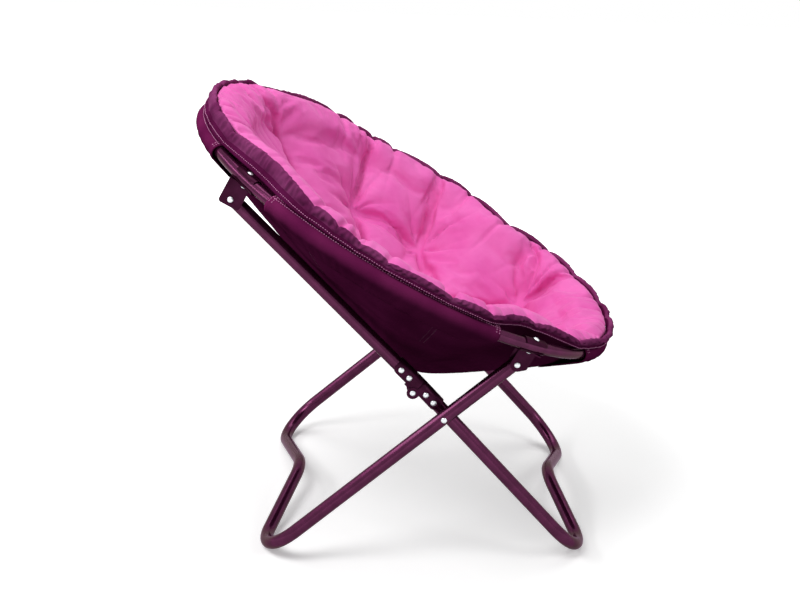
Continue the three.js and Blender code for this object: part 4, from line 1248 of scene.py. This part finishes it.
def stitchTree():
    tree, given = newTree("stitchRow", [
        ("Pitch", "NodeSocketFloat", 0.004), ("Stitch Length", "NodeSocketFloat", 0.003),
        ("Thread Radius", "NodeSocketFloat", 0.0005), ("Finish", "NodeSocketMaterial", None),
    ])
    curve = addNode(tree, "GeometryNodeMeshToCurve", Mesh=given.outputs["Geometry"])
    spaced = addNode(
        tree, "GeometryNodeResampleCurve", {"mode": "LENGTH"}, Curve=curve.outputs["Curve"],
        Length=given.outputs["Pitch"],
    )
    tangent = addNode(tree, "GeometryNodeInputTangent")
    turn = addNode(tree, "FunctionNodeAlignRotationToVector", {"axis": "X"}, Vector=tangent.outputs["Tangent"])
    half = addNode(tree, "ShaderNodeMath", {"operation": "MULTIPLY"}, i0=given.outputs["Stitch Length"], i1=0.5)
    size = addNode(
        tree, "ShaderNodeCombineXYZ", X=half.outputs[0], Y=given.outputs["Thread Radius"],
        Z=given.outputs["Thread Radius"],
    )
    bead = addNode(tree, "GeometryNodeMeshIcoSphere", Radius=1.0, Subdivisions=1)
    placed = addNode(
        tree, "GeometryNodeInstanceOnPoints", Points=spaced.outputs["Curve"], Instance=bead.outputs["Mesh"],
        Rotation=turn.outputs["Rotation"], Scale=size.outputs["Vector"],
    )
    closeTree(tree, placed.outputs["Instances"], given.outputs["Finish"])
    return tree


def stitchRows(name, lines, finish, tree, squashed=False):
    mesh = grow(pathObject(lines), tree, {
        "Pitch": stitch["pitch"], "Stitch Length": stitch["length"],
        "Thread Radius": stitch["thread"], "Finish": finishes[finish],
    })
    piece = addPiece(name, mesh, None)
    if squashed:
        crumple(piece)


def makeStitches():
    tree = stitchTree()
    rows = []
    lift = stitch["stand"]
    for start, end, depth in pocket["stretches"].values():
        ends = [math.radians(start), math.radians(end)]
        count = end - start
        inset = stitch["inset"]
        inner = [ends[0] + inset + (ends[1] - ends[0] - 2 * inset) * step / count for step in range(count + 1)]
        arcs = pocket["arcPoints"]
        for index in (*[round(arcs * share) for share in stitch["arcShares"]], arcs + pocket["linePoints"] - 3):
            rows.append([sleevePoint(liftedLoop(turn, depth, index, lift), turn) for turn in inner])
        for inset in stitch["hemInsets"]:
            for turn in (ends[0] + inset, ends[1] - inset):
                indices = range(round(arcs * stitch["hemFrom"]), arcs + pocket["linePoints"] - 1)
                height = lift + pocket["hem"]
                rows.append([sleevePoint(liftedLoop(turn, depth, index, height), turn) for index in indices])
    stitchRows("pocketStitches", rows, "thread", tree)

    seamRows = []
    steps = stitch["seamSteps"]
    shares = [step / steps for step in range(round(shell["seamShare"] * steps) + 1, stitch["seamEnd"])]
    for middle in shell["seamTurns"]:
        for side in (1, -1):
            for beside in (-stitch["pairGap"], stitch["pairGap"]):
                seamRows.append([
                    onShell(share, side * math.radians(middle) + beside / (0.2 + share / 2), stitch["shellStand"])
                    for share in shares
                ])
    for beside in (-stitch["roundGap"], stitch["roundGap"]):
        seamRows.append([
            onShell(shell["seamShare"] + beside, math.radians(step * 2), stitch["shellStand"]) for step in range(181)
        ])
    stitchRows("shellStitches", seamRows, "darkThread", tree, squashed=True)
    hemRow = []
    for step in range(stitch["hemSteps"] + 1):
        angle = math.tau * step / stitch["hemSteps"]
        radius, height = bindingSection(angle)[binding["stitchPoint"]]
        hemRow.append(onHoop(angle, radius + lift, height))
    stitchRows("bindingStitches", [hemRow], "thread", tree)
    print("stitches laid")


def liftedLoop(turn, depth, index, lift):
    loop = sleeveLoop(turn, depth, pocket["bore"] + pocket["wall"], 0.0)
    return loop[index] + squareTo(loop, index) * (lift + pocket["slack"] * stitch["slackShare"])


# Remaining hidden nodes keep their CAD shape

def dressHiddenNodes():
    for node, source in frame["nodes"].items():
        if node.startswith("hoop_joint_sleeve"):
            source.data.materials.clear()
            source.data.materials.append(finishes["zinc"])


# Stage: white sweep, soft boxes and the photograph's viewpoint

stage = {
    "floorSize": 14.0,
    "floorLift": 0.26,
    "fadeFrom": 0.75, "fadeTo": 2.2,  # metres from the chair over which the sweep turns plain white
    "worldLight": 0.28,
    "aim": (0, 0, 0.4),  # of every soft box
    "keyPlace": (-1.3, -1.5, 2.9), "keySize": (1.4, 1.4), "keyPower": 55,
    "fillPlace": (2.6, -1.6, 2.3), "fillSize": (1.3, 1.3), "fillPower": 25,
    # the side box is a long strip, for a line of light down the legs
    "sidePlace": (-2.5, -0.3, 2.0), "sideSize": (2.6, 0.45), "sidePower": 25,
    "floorBounce": 0.16,  # of the light that falls on it, thrown on to the chair
    "paper": 0.92,  # of that light, as the camera sees the floor
    "topPlace": (0.3, 1.2, 3.2), "topSize": (2.2, 2.2), "topPower": 43,
}
view = {
    "place": (-0.0266, -2.3354, 1.1524),
    "azimuth": 0.447,  # degrees, to the right
    "elevation": 18.50,  # looking down
    "roll": 2.03,
    "focalShare": 1404.4 / 800,  # focal length over the frame's width
}


def softBox(name, place, size, power):
    lamp = bpy.data.lights.new(name, "AREA")
    lamp.shape = "RECTANGLE"
    lamp.size, lamp.size_y = size
    lamp.energy = power
    box = putInScene(name, lamp)
    box.location = place
    box.rotation_euler = (Vector(stage["aim"]) - Vector(place)).to_track_quat("-Z", "Y").to_euler()


def backgroundRay(tree):
    # 1 for what the camera sees, directly or in metal and glass
    ray = addNode(tree, "ShaderNodeLightPath")
    mirrored = addNode(
        tree, "ShaderNodeMath", {"operation": "MAXIMUM"}, i0=ray.outputs["Is Glossy Ray"],
        i1=ray.outputs["Is Transmission Ray"],
    ).outputs[0]
    return addNode(
        tree, "ShaderNodeMath", {"operation": "MAXIMUM"}, i0=ray.outputs["Is Camera Ray"], i1=mirrored
    ).outputs[0]


def makeFloor():
    half = stage["floorSize"] / 2
    mesh = bpy.data.meshes.new("floor")
    mesh.from_pydata([(-half, -half, 0), (half, -half, 0), (half, half, 0), (-half, half, 0)], [], [(0, 1, 2, 3)])
    floor = putInScene("floor", mesh)
    material, tree, place = newMaterial("whiteSweep")
    shown = backgroundRay(tree)
    away = addNode(tree, "ShaderNodeVectorMath", {"operation": "LENGTH"}, i0=place["Object"]).outputs["Value"]
    lift = addNode(
        tree, "ShaderNodeMapRange", Value=away, From_Min=stage["fadeFrom"], From_Max=stage["fadeTo"],
        To_Min=stage["floorLift"], To_Max=1.0,
    ).outputs["Result"]
    seen = addNode(tree, "ShaderNodeMath", {"operation": "MULTIPLY"}, i0=shown, i1=lift)
    bounce = addNode(
        tree, "ShaderNodeMapRange", Value=shown, To_Min=stage["floorBounce"], To_Max=stage["paper"]
    ).outputs["Result"]
    paper = addNode(tree, "ShaderNodeBsdfDiffuse", Color=bounce)
    glow = addNode(tree, "ShaderNodeEmission", Color=(1, 1, 1, 1), Strength=seen.outputs[0])
    both = addNode(tree, "ShaderNodeAddShader", i0=paper.outputs[0], i1=glow.outputs[0])
    addNode(tree, "ShaderNodeOutputMaterial", Surface=both.outputs[0])
    mesh.materials.append(material)


def makeWorld():
    world = bpy.data.worlds.new("studio")
    scene.world = world
    world.use_nodes = True
    tree = world.node_tree
    tree.nodes.clear()
    strength = addNode(
        tree, "ShaderNodeMapRange", Value=backgroundRay(tree), To_Min=stage["worldLight"], To_Max=1.0
    )
    sky = addNode(tree, "ShaderNodeBackground", Color=(1, 1, 1, 1), Strength=strength.outputs[0])
    addNode(tree, "ShaderNodeOutputWorld", Surface=sky.outputs[0])


def makeCamera():
    camera = bpy.data.cameras.new("photoView")
    camera.sensor_width = 36
    camera.lens = view["focalShare"] * camera.sensor_width
    camera.clip_end = 60
    turn = (
        Matrix.Rotation(-math.radians(view["azimuth"]), 4, "Z")
        @ Matrix.Rotation(math.radians(90 - view["elevation"]), 4, "X")
        @ Matrix.Rotation(math.radians(view["roll"]), 4, "Z")
    )
    scene.camera = putInScene("photoView", camera)
    scene.camera.matrix_world = Matrix.Translation(view["place"]) @ turn


makeCamera()
makeTubes()
makePressings()
makeFasteners()
makeShell()
makePad()
makeBinding()
makePockets()
makeStitches()
dressHiddenNodes()
makeFloor()
makeWorld()
for box in ("key", "fill", "top", "side"):
    softBox(box + "Box", stage[box + "Place"], stage[box + "Size"], stage[box + "Power"])
scene.view_settings.view_transform = "Standard"
print("scene ready")
